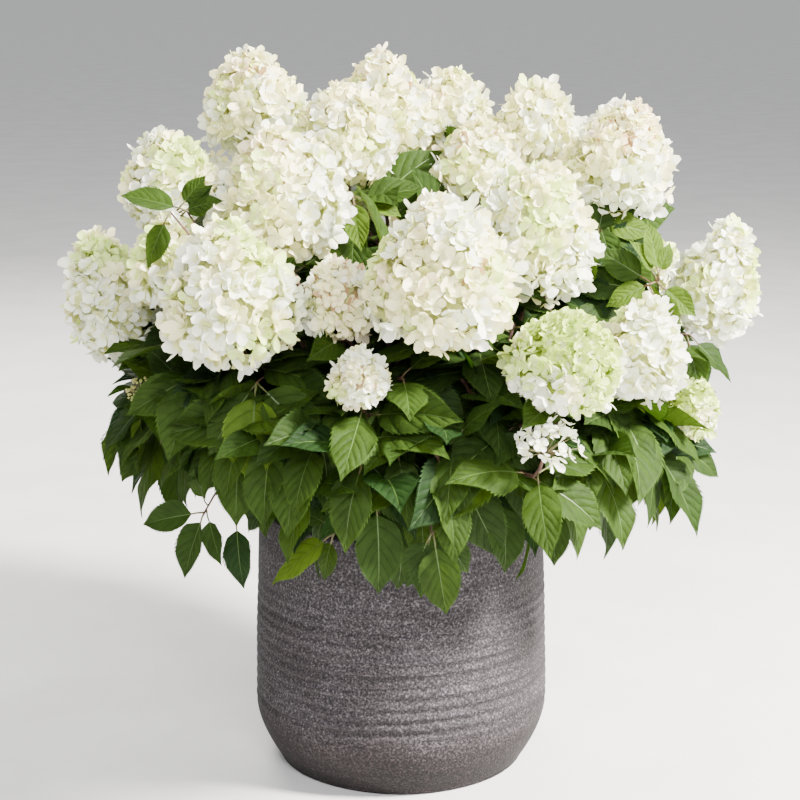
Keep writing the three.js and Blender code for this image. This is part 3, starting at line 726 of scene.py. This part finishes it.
# Small solids: a ring of four points, the top and the foot. A floret's eye has no foot.
DIAMOND = np.array([(0, 1, 4), (1, 2, 4), (2, 3, 4), (3, 0, 4), (1, 0, 5), (2, 1, 5), (3, 2, 5), (0, 3, 5)])
BUD = np.array([(1, 0, 0), (0, 1, 0), (-1, 0, 0), (0, -1, 0), (0, 0, 1), (0, 0, -1)], float)
CHIP = np.array([(1, 0, 0), (0, 0.5, 0), (-1, 0, 0), (0, -0.5, 0), (0.1, 0, 0.4), (0, 0, -0.3)])
EYE = np.array([(1, 0, 0), (0, 1, 0), (-1, 0, 0), (0, -1, 0), (0, 0, 0.9)])


def sepal_template(rows, columns, half_angle):
    """Polar points of a broad round sepal as shares of its length and half angle, its triangles, its angle.

    The first point is the claw's, and the first columns - 1 triangles are the claw.
    """
    points = [(0.0, 0.0)]
    for row in rows:
        for column in np.linspace(-1, 1, columns):
            points.append((row * (1 - 0.3 * abs(column) ** 2.3), column))
    claw = [(0, 1 + c, 2 + c) for c in range(columns - 1)]
    faces = np.vstack([claw, grid_faces(len(rows), columns)[:, ::-1] + 1])
    return np.array(points), faces, math.radians(half_angle)


def florets(heap, centres, normals, sizes, dice, template):
    """Cupped, ruffled sepals round each centre."""
    points, faces, half = template
    rho, phi = points.T[:, None]
    single = (len(centres), 1)
    aside = unit(np.cross(normals, unit(dice.normal(size=(len(centres), 3)))))
    axes = (aside, np.cross(normals, aside), normals)
    base = dice.uniform(0, 2 * math.pi, single)
    cup = dice.uniform(*FLORET.cup, single)
    for sepal in range(FLORET.sepals):
        angle = base + sepal * 2 * math.pi / FLORET.sepals + dice.normal(0, 0.12, single)
        size = sizes[:, None] * dice.uniform(*FLORET.share, single)
        ruffle = dice.uniform(*FLORET.ruffle, single)
        phase = dice.uniform(0, 2 * math.pi, single)
        tilt = cup + dice.normal(0, 0.2, single)
        direction, radius = angle + phi * half, rho * size
        height = size * (tilt * rho ** 1.7 + ruffle * rho ** 2 * np.sin(2.6 * phi + phase))
        height = height + (FLORET.overlap if sepal % 2 else 0.0) * size * np.minimum(1, 3 * rho)
        local = (radius * np.cos(direction), radius * np.sin(direction), height)
        heap.copies(set_out(centres, axes, local), faces)


def eyes(heap, centres, normals, size):
    """The small button in the middle of each floret."""
    aside = unit(np.cross(normals, [0.2, 0.5, 0.84]))
    local = ((EYE + [0, 0, 0.08]) * size).T[:, None]
    heap.copies(set_out(centres, (aside, np.cross(normals, aside), normals), local), DIAMOND[:4])


def lumps(directions, dice, amount):
    """Low swells over a head, as a factor for its radius."""
    waves = dice.normal(0, 2.6, (7, 3))
    phases = dice.uniform(0, 2 * math.pi, 7)
    return 1 + amount * np.sin(directions @ waves.T + phases).sum(axis=1) / math.sqrt(7)


def spiral(number):
    """Even directions over a sphere, from its foot to its top."""
    step = np.arange(number) + 0.5
    height = 2 * step / number - 1
    return turned(np.sqrt(1 - height ** 2), step * math.pi * (3 - math.sqrt(5)), height)


def scattered(dice, number, off, lowest=-1):
    """Directions over a sphere, each a little off its even place, down to the lowest height."""
    directions = unit(spiral(number) + dice.normal(0, off, (number, 3)))
    return directions[directions[:, 2] > lowest]


def tilted(normals, dice, kind):
    """The normals, each a little off, and turned upwards."""
    return unit(normals + dice.normal(0, kind.tilt, normals.shape) + UP * kind.upwards)


def egg_surface(head, directions, swell):
    """Points and outward normals on the head's egg, in the frame."""
    half, tall = head.blossom.fill * head.width / 2, head.blossom.fill * head.length / 2
    narrow = 1 - HEAD.taper * directions[:, 2:3]
    local = directions * np.array([half, half, tall]) * np.hstack([narrow, narrow, np.ones_like(narrow)])
    normals = unit(directions / np.array([half, half, tall]))
    turn = lean_matrix(head.axis).T
    return head.centre + (local * swell[:, None]) @ turn, normals @ turn


def tone_choice(head, directions, dice):
    """A tone for each outer floret, in patches, with the kind's own shares of each at rim and top."""
    high = np.clip((directions[:, 2] + 0.55) / 1.3, 0, 1)[:, None]
    odds = np.array(head.blossom.rim) * (1 - high) + np.array(head.blossom.top) * high
    patches = lumps(directions, np.random.default_rng(head.seed + 400), 1.0)
    patches = patches + dice.normal(0, BLOSSOM_PATCHES, len(directions))
    rank = (np.argsort(np.argsort(patches)) + 0.5) / len(directions)
    return np.minimum((rank[:, None] > np.cumsum(odds, axis=1)).sum(axis=1), LAST_OUTER_TONE)


def inner_tones(head, directions, dice):
    """The inner florets are darker yellow-green as painted shade in the recesses, darker still in lime
    heads, and russet here and there near the top.
    """
    russet = (directions[:, 2] > 0) & (dice.uniform(0, 1, len(directions)) < head.blossom.russet)
    usual = "moss_shade" if "lime" in head.kind else "inner"
    return np.where(russet, TONES.index("russet"), TONES.index(usual))


def head_layer(head, dice, depth, share):
    """One layer of a dense head: the florets' directions, centres, normals and sizes."""
    sepal = head.blossom.sepal
    area = math.pi * head.width * (head.width + head.length) / 2
    number = int(share * area / (DENSE.spacing * sepal) ** 2)
    directions = scattered(dice, number, DENSE.off / math.sqrt(number), DENSE.lowest)
    swell = lumps(directions, np.random.default_rng(head.seed + 900), DENSE.swell)
    swell = swell * depth * (1 - 0.5 * sepal / (head.width / 2))
    swell = swell + dice.normal(0, DENSE.rough, len(directions))
    centres, normals = egg_surface(head, directions, swell)
    normals = tilted(normals, dice, DENSE)
    sizes = sepal * (1.08 - 0.2 * np.clip(directions[:, 2], 0, 1))
    return directions, centres, normals, sizes * dice.uniform(*DENSE.share, len(directions))


def head_florets(head, heaps, core, eye_heap):
    """A dense head: an outer and an inner layer of florets on a core, the inner florets and the core
    darkened as painted shade.
    """
    dice = np.random.default_rng(head.seed)
    for depth, share, outer in LAYERS:
        directions, centres, normals, sizes = head_layer(head, dice, depth, share)
        tones = (tone_choice if outer else inner_tones)(head, directions, dice)
        template = sepal_template(*(OUTER_SEPAL if outer else INNER_SEPAL))
        for index, tone in enumerate(TONES):
            chosen = tones == index
            if chosen.any():
                florets(heaps[tone], centres[chosen], normals[chosen], sizes[chosen], dice, template)
        if outer:
            eyes(eye_heap, centres[::3], normals[::3], 1.1)
    directions = spiral(120)
    hull_core(core, egg_surface(head, directions, np.full(len(directions), HEAD.core))[0])


def hull_core(heap, points):
    """The inside of a head, as a closed ball through the points; its dark colour is painted shade."""
    ball = bmesh.new()
    for point in points:
        ball.verts.new(point)
    bmesh.ops.convex_hull(ball, input=ball.verts)
    bmesh.ops.triangulate(ball, faces=ball.faces)
    ball.verts.index_update()
    heap.add([v.co[:] for v in ball.verts], [[v.index for v in f.verts] for f in ball.faces])
    ball.free()


def lace_florets(head, heap, stalks, eye_heap):
    """An open head of single florets on thin stalks."""
    dice = np.random.default_rng(head.seed)
    directions = scattered(dice, LACE.number, LACE.off, LACE.lowest)
    centres, normals = egg_surface(head, directions, dice.uniform(*LACE.depth, len(directions)))
    normals = tilted(normals, dice, LACE)
    sizes = head.blossom.sepal * dice.uniform(*LACE.share, len(centres))
    florets(heap, centres, normals, sizes, dice, sepal_template(*LACE_SEPAL))
    eyes(eye_heap, centres, normals, 1.3)
    for centre in centres:
        thin_stalk(stalks, head.foot, centre, UP * 2, (0.9, 0.6, 0.5))


def bud_cluster(head, buds, stalks):
    """A young head of unopened green buds."""
    dice = np.random.default_rng(head.seed)
    directions = scattered(dice, BUDS.number, BUDS.off)
    centres, _ = egg_surface(head, directions, dice.uniform(*BUDS.depth, BUDS.number))
    buds.copies(centres[:, None] + BUD[None] * dice.uniform(*BUDS.radius, (BUDS.number, 1, 1)), DIAMOND)
    for centre in centres[::2]:
        thin_stalk(stalks, head.foot, centre, 0, (0.8, 0.5, 0.4))


# Materials

# Stone: colours over the grain, and factors over patches, over bands that paint the ribs' light and shade,
# and over the height in metres.
STONE_GRAINS = ((0.36, (0.014, 0.012, 0.014)), (0.47, (0.04, 0.0355, 0.0385)),
                (0.56, (0.088, 0.079, 0.087)), (0.68, (0.26, 0.237, 0.255)))
STONE_PATCHES = ((0.35, (0.74, 0.7, 0.69)), (0.65, (1.0, 1.0, 1.02)))
STONE_RIB_SHADING = ((0.4, (0.66, 0.65, 0.65)), (0.6, (1.0, 1.0, 1.0)))
STONE_FOOT = ((0.0, (0.32, 0.27, 0.25)), (0.055, (0.52, 0.445, 0.415)), (0.095, (1.0, 0.98, 0.97)))
# The groove stone is darker than the rest: painted shade in the deep parts of the rib grooves.
STONE_SHADES = {"planter_stone": 0.72, "planter_groove_shade": 0.66}

LEAF_SURFACE = {"roughness": 0.56, "see_through": 0.14, "scale": 60, "vary": 0.25, "specular": 0.06,
                "quilt": 260, "relief": 0.002}
# Factors on each tone's colour for the blade, its side veins and its margin: the side veins are darker as
# painted shade in their grooves, and the margin is paler.
LEAF_SHADES = {"leaf_": 1.0, "vein_shade_": 0.68, "margin_": 1.5}
# Each tone's colour, and the colour of the light that shines through.
LEAF_COLOURS = {
    "deep": ((0.0088, 0.0212, 0.0058), (0.04, 0.115, 0.006)),
    "mid": ((0.0156, 0.0315, 0.0056), (0.072, 0.16, 0.008)),
    "light": ((0.021, 0.0415, 0.0058), (0.11, 0.2, 0.012)),
    "young": ((0.053, 0.092, 0.009), (0.2, 0.33, 0.025)),
}
PETAL_SURFACE = {"roughness": 0.6, "see_through": 0.33, "scale": 90, "vary": 0.03, "specular": 0.16,
                 "quilt": 400, "relief": 0.0004}
PETAL_COLOURS = {
    "white": ((0.93, 0.935, 0.84), (0.91, 0.93, 0.66)),
    "cream": ((0.945, 0.9, 0.61), (0.94, 0.89, 0.44)),
    "green": ((0.75, 0.86, 0.34), (0.7, 0.86, 0.2)),
    "blush": ((0.93, 0.82, 0.64), (0.93, 0.8, 0.5)),
    "lime": ((0.58, 0.7, 0.16), (0.54, 0.69, 0.1)),
    # The inner and moss tones colour the inner florets darker, as painted shade in the heads' recesses.
    "inner": ((0.6, 0.62, 0.28), (0.6, 0.63, 0.18)),
    "moss_shade": ((0.34, 0.43, 0.06), (0.32, 0.43, 0.04)),
    "throat": ((0.84, 0.85, 0.5), (0.82, 0.84, 0.36)),
    "russet": ((0.6, 0.4, 0.24), (0.6, 0.36, 0.16)),
}
# Other surfaces: colours over a noise, the noise's scale, roughness, relief and its scale.
SOLIDS = {
    # The blossom core fills each head's inside; its dark colour is painted shade.
    "blossom_shade_core": (((0.35, (0.3, 0.33, 0.1)), (0.65, (0.42, 0.43, 0.18))), 200, 0.8, 0.001, 400),
    "flower_bud": (((0.35, (0.3, 0.36, 0.07)), (0.65, (0.55, 0.45, 0.2))), 120, 0.6, 0.0003, 900),
    "floret_eye": (((0.35, (0.6, 0.6, 0.3)), (0.65, (0.8, 0.74, 0.45))), 300, 0.6, 0.0003, 900),
    "leaf_midrib": (((0.35, (0.045, 0.085, 0.014)), (0.65, (0.07, 0.12, 0.022))), 80, 0.5, 0.0002, 800),
    "leaf_stalk": (((0.35, (0.07, 0.09, 0.022)), (0.65, (0.11, 0.065, 0.03))), 25, 0.5, 0.0002, 700),
    "twig_bark": (((0.35, (0.045, 0.02, 0.014)), (0.65, (0.1, 0.045, 0.03))), 40, 0.6, 0.0006, 500),
    "old_bark": (((0.3, (0.06, 0.035, 0.025)), (0.5, (0.15, 0.1, 0.07)), (0.7, (0.28, 0.2, 0.15))),
                 70, 0.85, 0.001, 300),
    "potting_mix": (((0.3, (0.012, 0.008, 0.006)), (0.55, (0.05, 0.033, 0.023)), (0.75, (0.13, 0.09, 0.06))),
                    160, 0.95, 0.003, 260),
    "pale_floor": (((0.4, (0.6, 0.59, 0.58)), (0.6, (0.64, 0.63, 0.62))), 6, 0.8, 0.0002, 90, 0.2),
}


class Surface:
    """A material's node tree, built up from its own textures."""

    def __init__(self, name):
        material = bpy.data.materials.new(name)
        material.use_nodes = True
        self.tree = material.node_tree
        self.tree.nodes.clear()

    def node(self, kind, inputs, **settings):
        """A node with its settings and inputs; an input is another node's output or a constant."""
        node = self.tree.nodes.new(kind)
        for name, value in settings.items():
            setattr(node, name, value)
        for name, value in inputs.items():
            if isinstance(value, bpy.types.NodeSocket):
                self.tree.links.new(value, node.inputs[name])
            else:
                node.inputs[name].default_value = value
        return node.outputs

    def place(self):
        return self.node("ShaderNodeTexCoord", {})["Object"]

    def noise(self, scale, detail=3.0, rough=0.55, stretch=(1, 1, 1)):
        """A noise in the object's own coordinates; scale is features per metre, times stretch each way."""
        mapping = self.node("ShaderNodeMapping", {"Scale": stretch, "Vector": self.place()})
        return self.node("ShaderNodeTexNoise", {
            "Scale": scale, "Detail": detail, "Roughness": rough, "Vector": mapping["Vector"]})["Fac"]

    def ramp(self, factor, stops):
        """Colours over a factor: stops are (place, (r, g, b))."""
        colours = self.node("ShaderNodeValToRGB", {"Fac": factor})["Color"]
        elements = colours.node.color_ramp.elements
        while len(elements) < len(stops):
            elements.new(0.5)
        for element, (place, colour) in zip(elements, stops):
            element.position = place
            element.color = (*colour, 1)
        return colours

    def multiplied(self, colour, factor, stops):
        """The colour, multiplied by a ramp over the factor."""
        return self.node("ShaderNodeMix", {"Factor": 1.0, "A": colour, "B": self.ramp(factor, stops)},
                         data_type="RGBA", blend_type="MULTIPLY")["Result"]

    def opaque(self, colour, roughness, specular, grain, strength, depth):
        """A surface of that colour, with the grain as its relief."""
        normal = self.node("ShaderNodeBump", {"Strength": strength, "Distance": depth, "Height": grain})
        return self.node("ShaderNodeBsdfPrincipled", {
            "Roughness": roughness, "Specular IOR Level": specular, "Base Color": colour,
            "Normal": normal["Normal"]})["BSDF"]

    def finish(self, shader):
        self.node("ShaderNodeOutputMaterial", {"Surface": shader})


def shaded(colour, amount):
    return tuple(min(1.0, c * amount) for c in colour)


def thin_material(name, colour, glow, roughness, see_through, scale, vary, specular, quilt, relief):
    """A leaf or petal: slightly uneven colour, fine relief, and light let through."""
    surface = Surface(name)
    stops = ((0.3, shaded(colour, 1 - vary)), (0.7, shaded(colour, 1 + vary)))
    tint = surface.ramp(surface.noise(scale), stops)
    front = surface.opaque(tint, roughness, specular, surface.noise(quilt), 0.6, relief)
    through = surface.node("ShaderNodeBsdfTranslucent", {"Color": (*glow, 1)})["BSDF"]
    both = surface.node("ShaderNodeMixShader", {"Fac": see_through, 1: front, 2: through})["Shader"]
    surface.finish(both)


def solid_material(name, stops, scale, roughness, relief, relief_scale, specular=0.4):
    """An opaque natural surface: colours over a noise, with a rougher noise as relief."""
    surface = Surface(name)
    colour = surface.ramp(surface.noise(scale, detail=5.0), stops)
    grain = surface.noise(relief_scale, detail=4.0)
    surface.finish(surface.opaque(colour, roughness, specular, grain, 0.8, relief))


def stone_material(name, shade):
    """Cast stone: light and dark grains on a warm grey, with dull patches, bands of painted light and shade
    along the ribs, and a darker foot.
    """
    surface = Surface(name)
    grain = surface.noise(370, detail=4.0, rough=0.7)
    colour = surface.ramp(grain, [(place, shaded(tint, shade)) for place, tint in STONE_GRAINS])
    height = surface.node("ShaderNodeSeparateXYZ", {"Vector": surface.place()})["Z"]
    # Bands stretched up the wall, at about the ribs' pitch, paint light and shade onto the ribs.
    rib_shading = surface.noise(4, detail=4.0, stretch=(1, 1, 22))
    for factor, stops in ((surface.noise(8, detail=4.0), STONE_PATCHES), (rib_shading, STONE_RIB_SHADING),
                          (height, STONE_FOOT)):
        colour = surface.multiplied(colour, factor, stops)
    surface.finish(surface.opaque(colour, 0.85, 0.3, grain, 0.8, 0.001))


def make_materials():
    for tone, (colour, glow) in LEAF_COLOURS.items():
        for part, shade in LEAF_SHADES.items():
            thin_material(part + tone, shaded(colour, shade), glow, **LEAF_SURFACE)
    for tone, (colour, glow) in PETAL_COLOURS.items():
        thin_material("petal_" + tone, colour, glow, **PETAL_SURFACE)
    for name, surface in SOLIDS.items():
        solid_material(name, *surface)
    for name, shade in STONE_SHADES.items():
        stone_material(name, shade)


# Planter, soil and bark

def arc(middle, height, radius, start, end, steps):
    """Points round (middle, height), in quarter turns: 0 is outwards and 1 is up."""
    return [(middle + radius * math.cos(a), height + radius * math.sin(a))
            for a in np.linspace(start, end, steps) * math.pi / 2]


def planter_profile():
    """Outside of the planter from under its foot up to the rim and into its mouth, without the ribs."""
    foot, rounding, bevel = PLANTER.foot_radius, PLANTER.foot_round, PLANTER.rim_round
    top, belly = PLANTER.height, PLANTER.belly_from
    points = [(foot * 0.25, 0.0), (foot * 0.5, 0.0), (foot - rounding, 0.0)]
    points += arc(foot - rounding, rounding, rounding, -0.8, 0, 5)
    for share in np.linspace(0.06, 1, 24):
        radius = foot + (PLANTER.belly_radius - foot) * math.sin(share * math.pi / 2) ** 0.92
        points.append((radius, rounding + (belly - rounding) * share))
    heights = np.arange(belly + PLANTER.row_step, top - bevel, PLANTER.row_step)
    points += list(zip(planter_radius(heights), heights))
    rim, mouth = planter_radius(top), planter_radius(top) - PLANTER.wall
    points += arc(rim - bevel, top - bevel, bevel, 0, 1, 5) + arc(mouth + bevel, top - bevel, bevel, 1, 2, 4)
    return np.array(points + [(mouth, SOIL.top - 12)])


def rib_relief(angle, height):
    """How far the throwing ribs sink the wall in, uneven round the pot as a hand leaves them."""
    start, pitch = PLANTER.belly_from, PLANTER.rib_pitch
    end = start + PLANTER.ribs * pitch
    fade = np.clip((height - start + 10) / 8, 0, 1) * np.clip((end + 16 - height) / 44, 0, 1)
    drift = 1.0 * np.sin(2 * angle + 0.7) + 0.6 * np.sin(3 * angle + height * 0.021)
    wave = 0.5 - 0.5 * np.cos(2 * math.pi * (height - start + drift) / pitch)
    uneven = 0.84 + 0.16 * np.sin(3 * angle + height * 0.06) * np.sin(5 * angle - height * 0.045)
    return PLANTER.rib_depth * fade * uneven * wave ** 1.1


def build_planter():
    """The turned planter, with painted shade (a darker stone) in the deeper parts of its grooves."""
    profile, sides = planter_profile(), PLANTER.sides
    angle = circle(sides)[None, :]
    radius, height = profile[:, 0:1], profile[:, 1:2]
    outside = np.zeros((len(profile), 1), bool)
    outside[3:int(np.argmax(height >= PLANTER.height - 0.01))] = True
    ribs = np.where(outside, rib_relief(angle, height), 0.0)
    swell = 0.35 * np.sin(3 * angle + height * 0.013) + 0.25 * np.sin(7 * angle - height * 0.05)
    wide = radius - ribs + np.where(outside, swell - 0.4, 0.0)
    fan = [(len(profile) * sides, (side + 1) % sides, side) for side in range(sides)]
    heap = Heap()
    heap.add(np.vstack([turned(wide, angle, height).reshape(-1, 3), [(0, 0, 0)]]),
             np.vstack([grid_faces(len(profile), sides, closed=True), fan]))
    planter = make_piece("planter_body", heap, "planter_stone", ["planter"])
    # The deepest parts of the rib grooves take the darker groove stone: painted shade.
    deep = (ribs[:-1] > PLANTER.dirt_from).ravel()
    colour_parts(planter, np.concatenate([np.repeat(deep, 2), np.zeros(sides, bool)]), ["planter_groove_shade"])


def build_soil():
    """Crumbly ground just below the rim, with lumps of bark and root."""
    rings, sides, number = SOIL.rings, SOIL.sides, SOIL.chips
    edge = planter_radius(PLANTER.height) - PLANTER.wall - 1.5
    dice = np.random.default_rng(5)
    radius, angle = edge * np.linspace(0, 1, rings)[:, None], circle(sides)[None, :]
    height = SOIL.top - 4 + dice.normal(0, 0.9, (rings, sides)) + 1.5 * np.sin(radius / 14 + 3 * angle)
    height = height - 3 * (radius / edge) ** 4
    height[0] = SOIL.top - 3
    heap = Heap()
    heap.add(turned(radius, angle, height), grid_faces(rings, sides, closed=True)[:, ::-1])
    turn = dice.uniform(0, math.pi, number)
    size = dice.uniform(2.5, 7.5, number)[:, None]
    spot = edge * 0.96 * np.sqrt(dice.uniform(0.03, 1, number))
    base = turned(spot, dice.uniform(0, 2 * math.pi, number), SOIL.top - 3.0)
    along = turned(1, turn, 0)
    axes = (along, np.cross(UP, along), np.broadcast_to(UP, along.shape))
    heap.copies(set_out(base, axes, CHIP.T[:, None] * size), DIAMOND)
    make_piece("soil_surface", heap, "potting_mix", ["soil"], smooth=False)


def bark_relief(rings, sides, seed, depth):
    """Lengthwise ridges and furrows that wander and break."""
    dice = np.random.default_rng(seed)
    angle, along = circle(sides)[None, :], np.linspace(0, 1, rings)[:, None]
    ridges = sum(np.sin(k * angle + dice.uniform(0, 6) + dice.uniform(-4, 4) * along) for k in (3, 5, 8)) / 3
    return depth * (ridges + dice.normal(0, 0.35, (rings, sides)))


def limb(heap, curve, kind, rings, sides, waves=0.0, pace=0.0, thick=1.0, relief=0):
    """A tube along a curve, from its kind's root radius to the tip's, a little wavy in its thickness."""
    shares = np.linspace(0, 1, rings)
    radii = np.interp(shares, (0, 1), (kind.root, kind.tip)) * (1 + waves * np.sin(shares * pace)) * thick
    tube(heap, curve.point(shares), radii, sides, relief)


def build_bark(curves):
    """The stock with its root flare, and the boughs."""
    heap, sides = Heap(), STOCK.sides
    levels = np.array([0, 0.08, 0.2, 0.33, 0.5, 0.75, 0.92, 1.0])
    radii = np.interp(levels, (0, 0.33, 0.75, 1),
                      (STOCK.root, STOCK.waist, STOCK.waist * 0.94, STOCK.top))
    flare = np.clip(1 - levels * STOCK.height / STOCK.flare, 0, 1)[:, None]
    lobes = radii[:, None] * 0.16 * flare * np.cos(STOCK.lobes * circle(sides)[None, :])
    centres = [(STOCK.lean * level, 0, SOIL.top + STOCK.height * level) for level in levels]
    tube(heap, centres, radii, sides, lobes + bark_relief(len(levels), sides, 3, 1.0))
    rings, sides = BOUGH.rings, BOUGH.sides
    for seed, curve in enumerate(curves.values(), 20):
        relief = bark_relief(rings, sides, seed, 0.55)
        limb(heap, curve, BOUGH, rings, sides, 0.07, 47, relief=relief)
    make_piece("bark_limbs", heap, "old_bark", ["stock"] + ["bough_" + name for name in curves])


# The plant's masses

def build_twigs(masses):
    heap = Heap()
    for mass in masses:
        limb(heap, mass.stem, STEM, 7, 7)
        for shoot, thick in mass.shoots:
            limb(heap, shoot, SHOOT, 9, 6, 0.1, 31, thick)
    make_piece("twigs", heap, "twig_bark")


def build_leaves(masses):
    leaves = [leaf for mass in masses for leaf in mass.leaves]
    blade, faces, parts = blade_template()
    rib, rib_faces = rib_template()
    ribs, stalks = Heap(), Heap()
    for index, tone in enumerate(LEAF_TONES):
        chosen = [leaf for leaf in leaves if leaf.tone == index]
        heap = Heap()
        heap.copies(bent_blades(chosen, blade), faces)
        ribs.copies(bent_blades(chosen, rib), rib_faces)
        for piece in make_pieces("leaves_" + tone, heap, "leaf_" + tone):
            colour_parts(piece, parts, ["vein_shade_" + tone, "margin_" + tone])
    for leaf in leaves:
        thin_stalk(stalks, leaf.root, leaf.root + leaf.heading * (LEAF.stalk + 2), leaf.above * 1.2,
                   (1.3, 1.0, 0.9))
    make_piece("leaf_midribs", ribs, "leaf_midrib")
    make_piece("leaf_stalks", stalks, "leaf_stalk")


def build_blossom(masses):
    heaps = {tone: Heap() for tone in TONES}
    core, eye_heap, buds, stalks = Heap(), Heap(), Heap(), Heap()
    for head in (head for mass in masses for head in mass.heads):
        if head.kind == "lace":
            lace_florets(head, heaps["white"], stalks, eye_heap)
        elif head.kind == "buds":
            bud_cluster(head, buds, stalks)
        else:
            head_florets(head, heaps, core, eye_heap)
    claw = np.arange(len(sepal_template(*OUTER_SEPAL)[1])) < OUTER_SEPAL[1] - 1
    for index, (tone, heap) in enumerate(heaps.items()):
        pieces = make_pieces("blossom_" + tone, heap, "petal_" + tone)
        for piece in pieces if index <= LAST_OUTER_TONE else ():
            colour_parts(piece, claw, ["petal_throat"])
    make_piece("blossom_cores", core, "blossom_shade_core")
    make_piece("floret_eyes", eye_heap, "floret_eye")
    make_piece("flower_buds", buds, "flower_bud")
    make_piece("floret_stalks", stalks, "leaf_stalk")


# Studio

FLOOR = Sizes(radius=600, sides=64)
LIGHTS_AIM = (0, 0, 0.5)
# Each light's place, size, power and colour.
LIGHTS = {
    "key": ((2.2, -0.9, 2.2), 0.6, 850, (1.0, 0.97, 0.92)),
    "fill": ((0.3, -3.1, 2.3), 2.0, 170, (0.97, 0.98, 1.0)),
    "back": ((-1.0, 2.3, 2.4), 1.6, 170, (1.0, 0.98, 0.94)),
}
SKY = Sizes(colour=(0.95, 0.97, 1.0, 1), strength=0.78)


def make_floor():
    """A pale floor that reaches past the horizon line of the view."""
    mesh = bpy.data.meshes.new("studio_floor")
    mesh.from_pydata(turned(FLOOR.radius, circle(FLOOR.sides), 0.0), [], [list(range(FLOOR.sides))])
    mesh.materials.append(bpy.data.materials["pale_floor"])
    floor = link("studio_floor", mesh)


def make_lights():
    for name, (place, size, power, colour) in LIGHTS.items():
        light = bpy.data.lights.new(name, "AREA")
        light.shape, light.size, light.energy, light.color = "DISK", size, power, colour
        lamp = link(name, light)
        lamp.location = place
        lamp.rotation_euler = (Vector(LIGHTS_AIM) - Vector(place)).to_track_quat("-Z", "Y").to_euler()
    world = bpy.data.worlds.new("studio")
    world.use_nodes = True
    sky = world.node_tree.nodes["Background"]
    sky.inputs["Color"].default_value = SKY.colour
    sky.inputs["Strength"].default_value = SKY.strength
    bpy.context.scene.world = world


def make_camera():
    data = bpy.data.cameras.new("camera")
    data.lens, data.sensor_width = CAMERA.lens, CAMERA.sensor
    camera = link("camera", data)
    camera.location = CAMERA.place
    camera.rotation_euler = (math.radians(90 - CAMERA.pitch), 0, 0)
    bpy.context.scene.camera = camera


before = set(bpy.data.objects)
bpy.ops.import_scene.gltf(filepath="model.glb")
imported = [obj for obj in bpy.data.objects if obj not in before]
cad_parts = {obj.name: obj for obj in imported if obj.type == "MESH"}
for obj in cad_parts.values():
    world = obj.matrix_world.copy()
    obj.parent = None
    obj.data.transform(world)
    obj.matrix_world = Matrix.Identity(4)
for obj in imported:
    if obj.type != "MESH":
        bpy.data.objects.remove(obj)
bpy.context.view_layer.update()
make_camera()
make_lights()
make_materials()
make_floor()
curves, masses = grow_plant()
build_planter()
build_soil()
build_bark(curves)
build_twigs(masses)
build_leaves(masses)
build_blossom(masses)
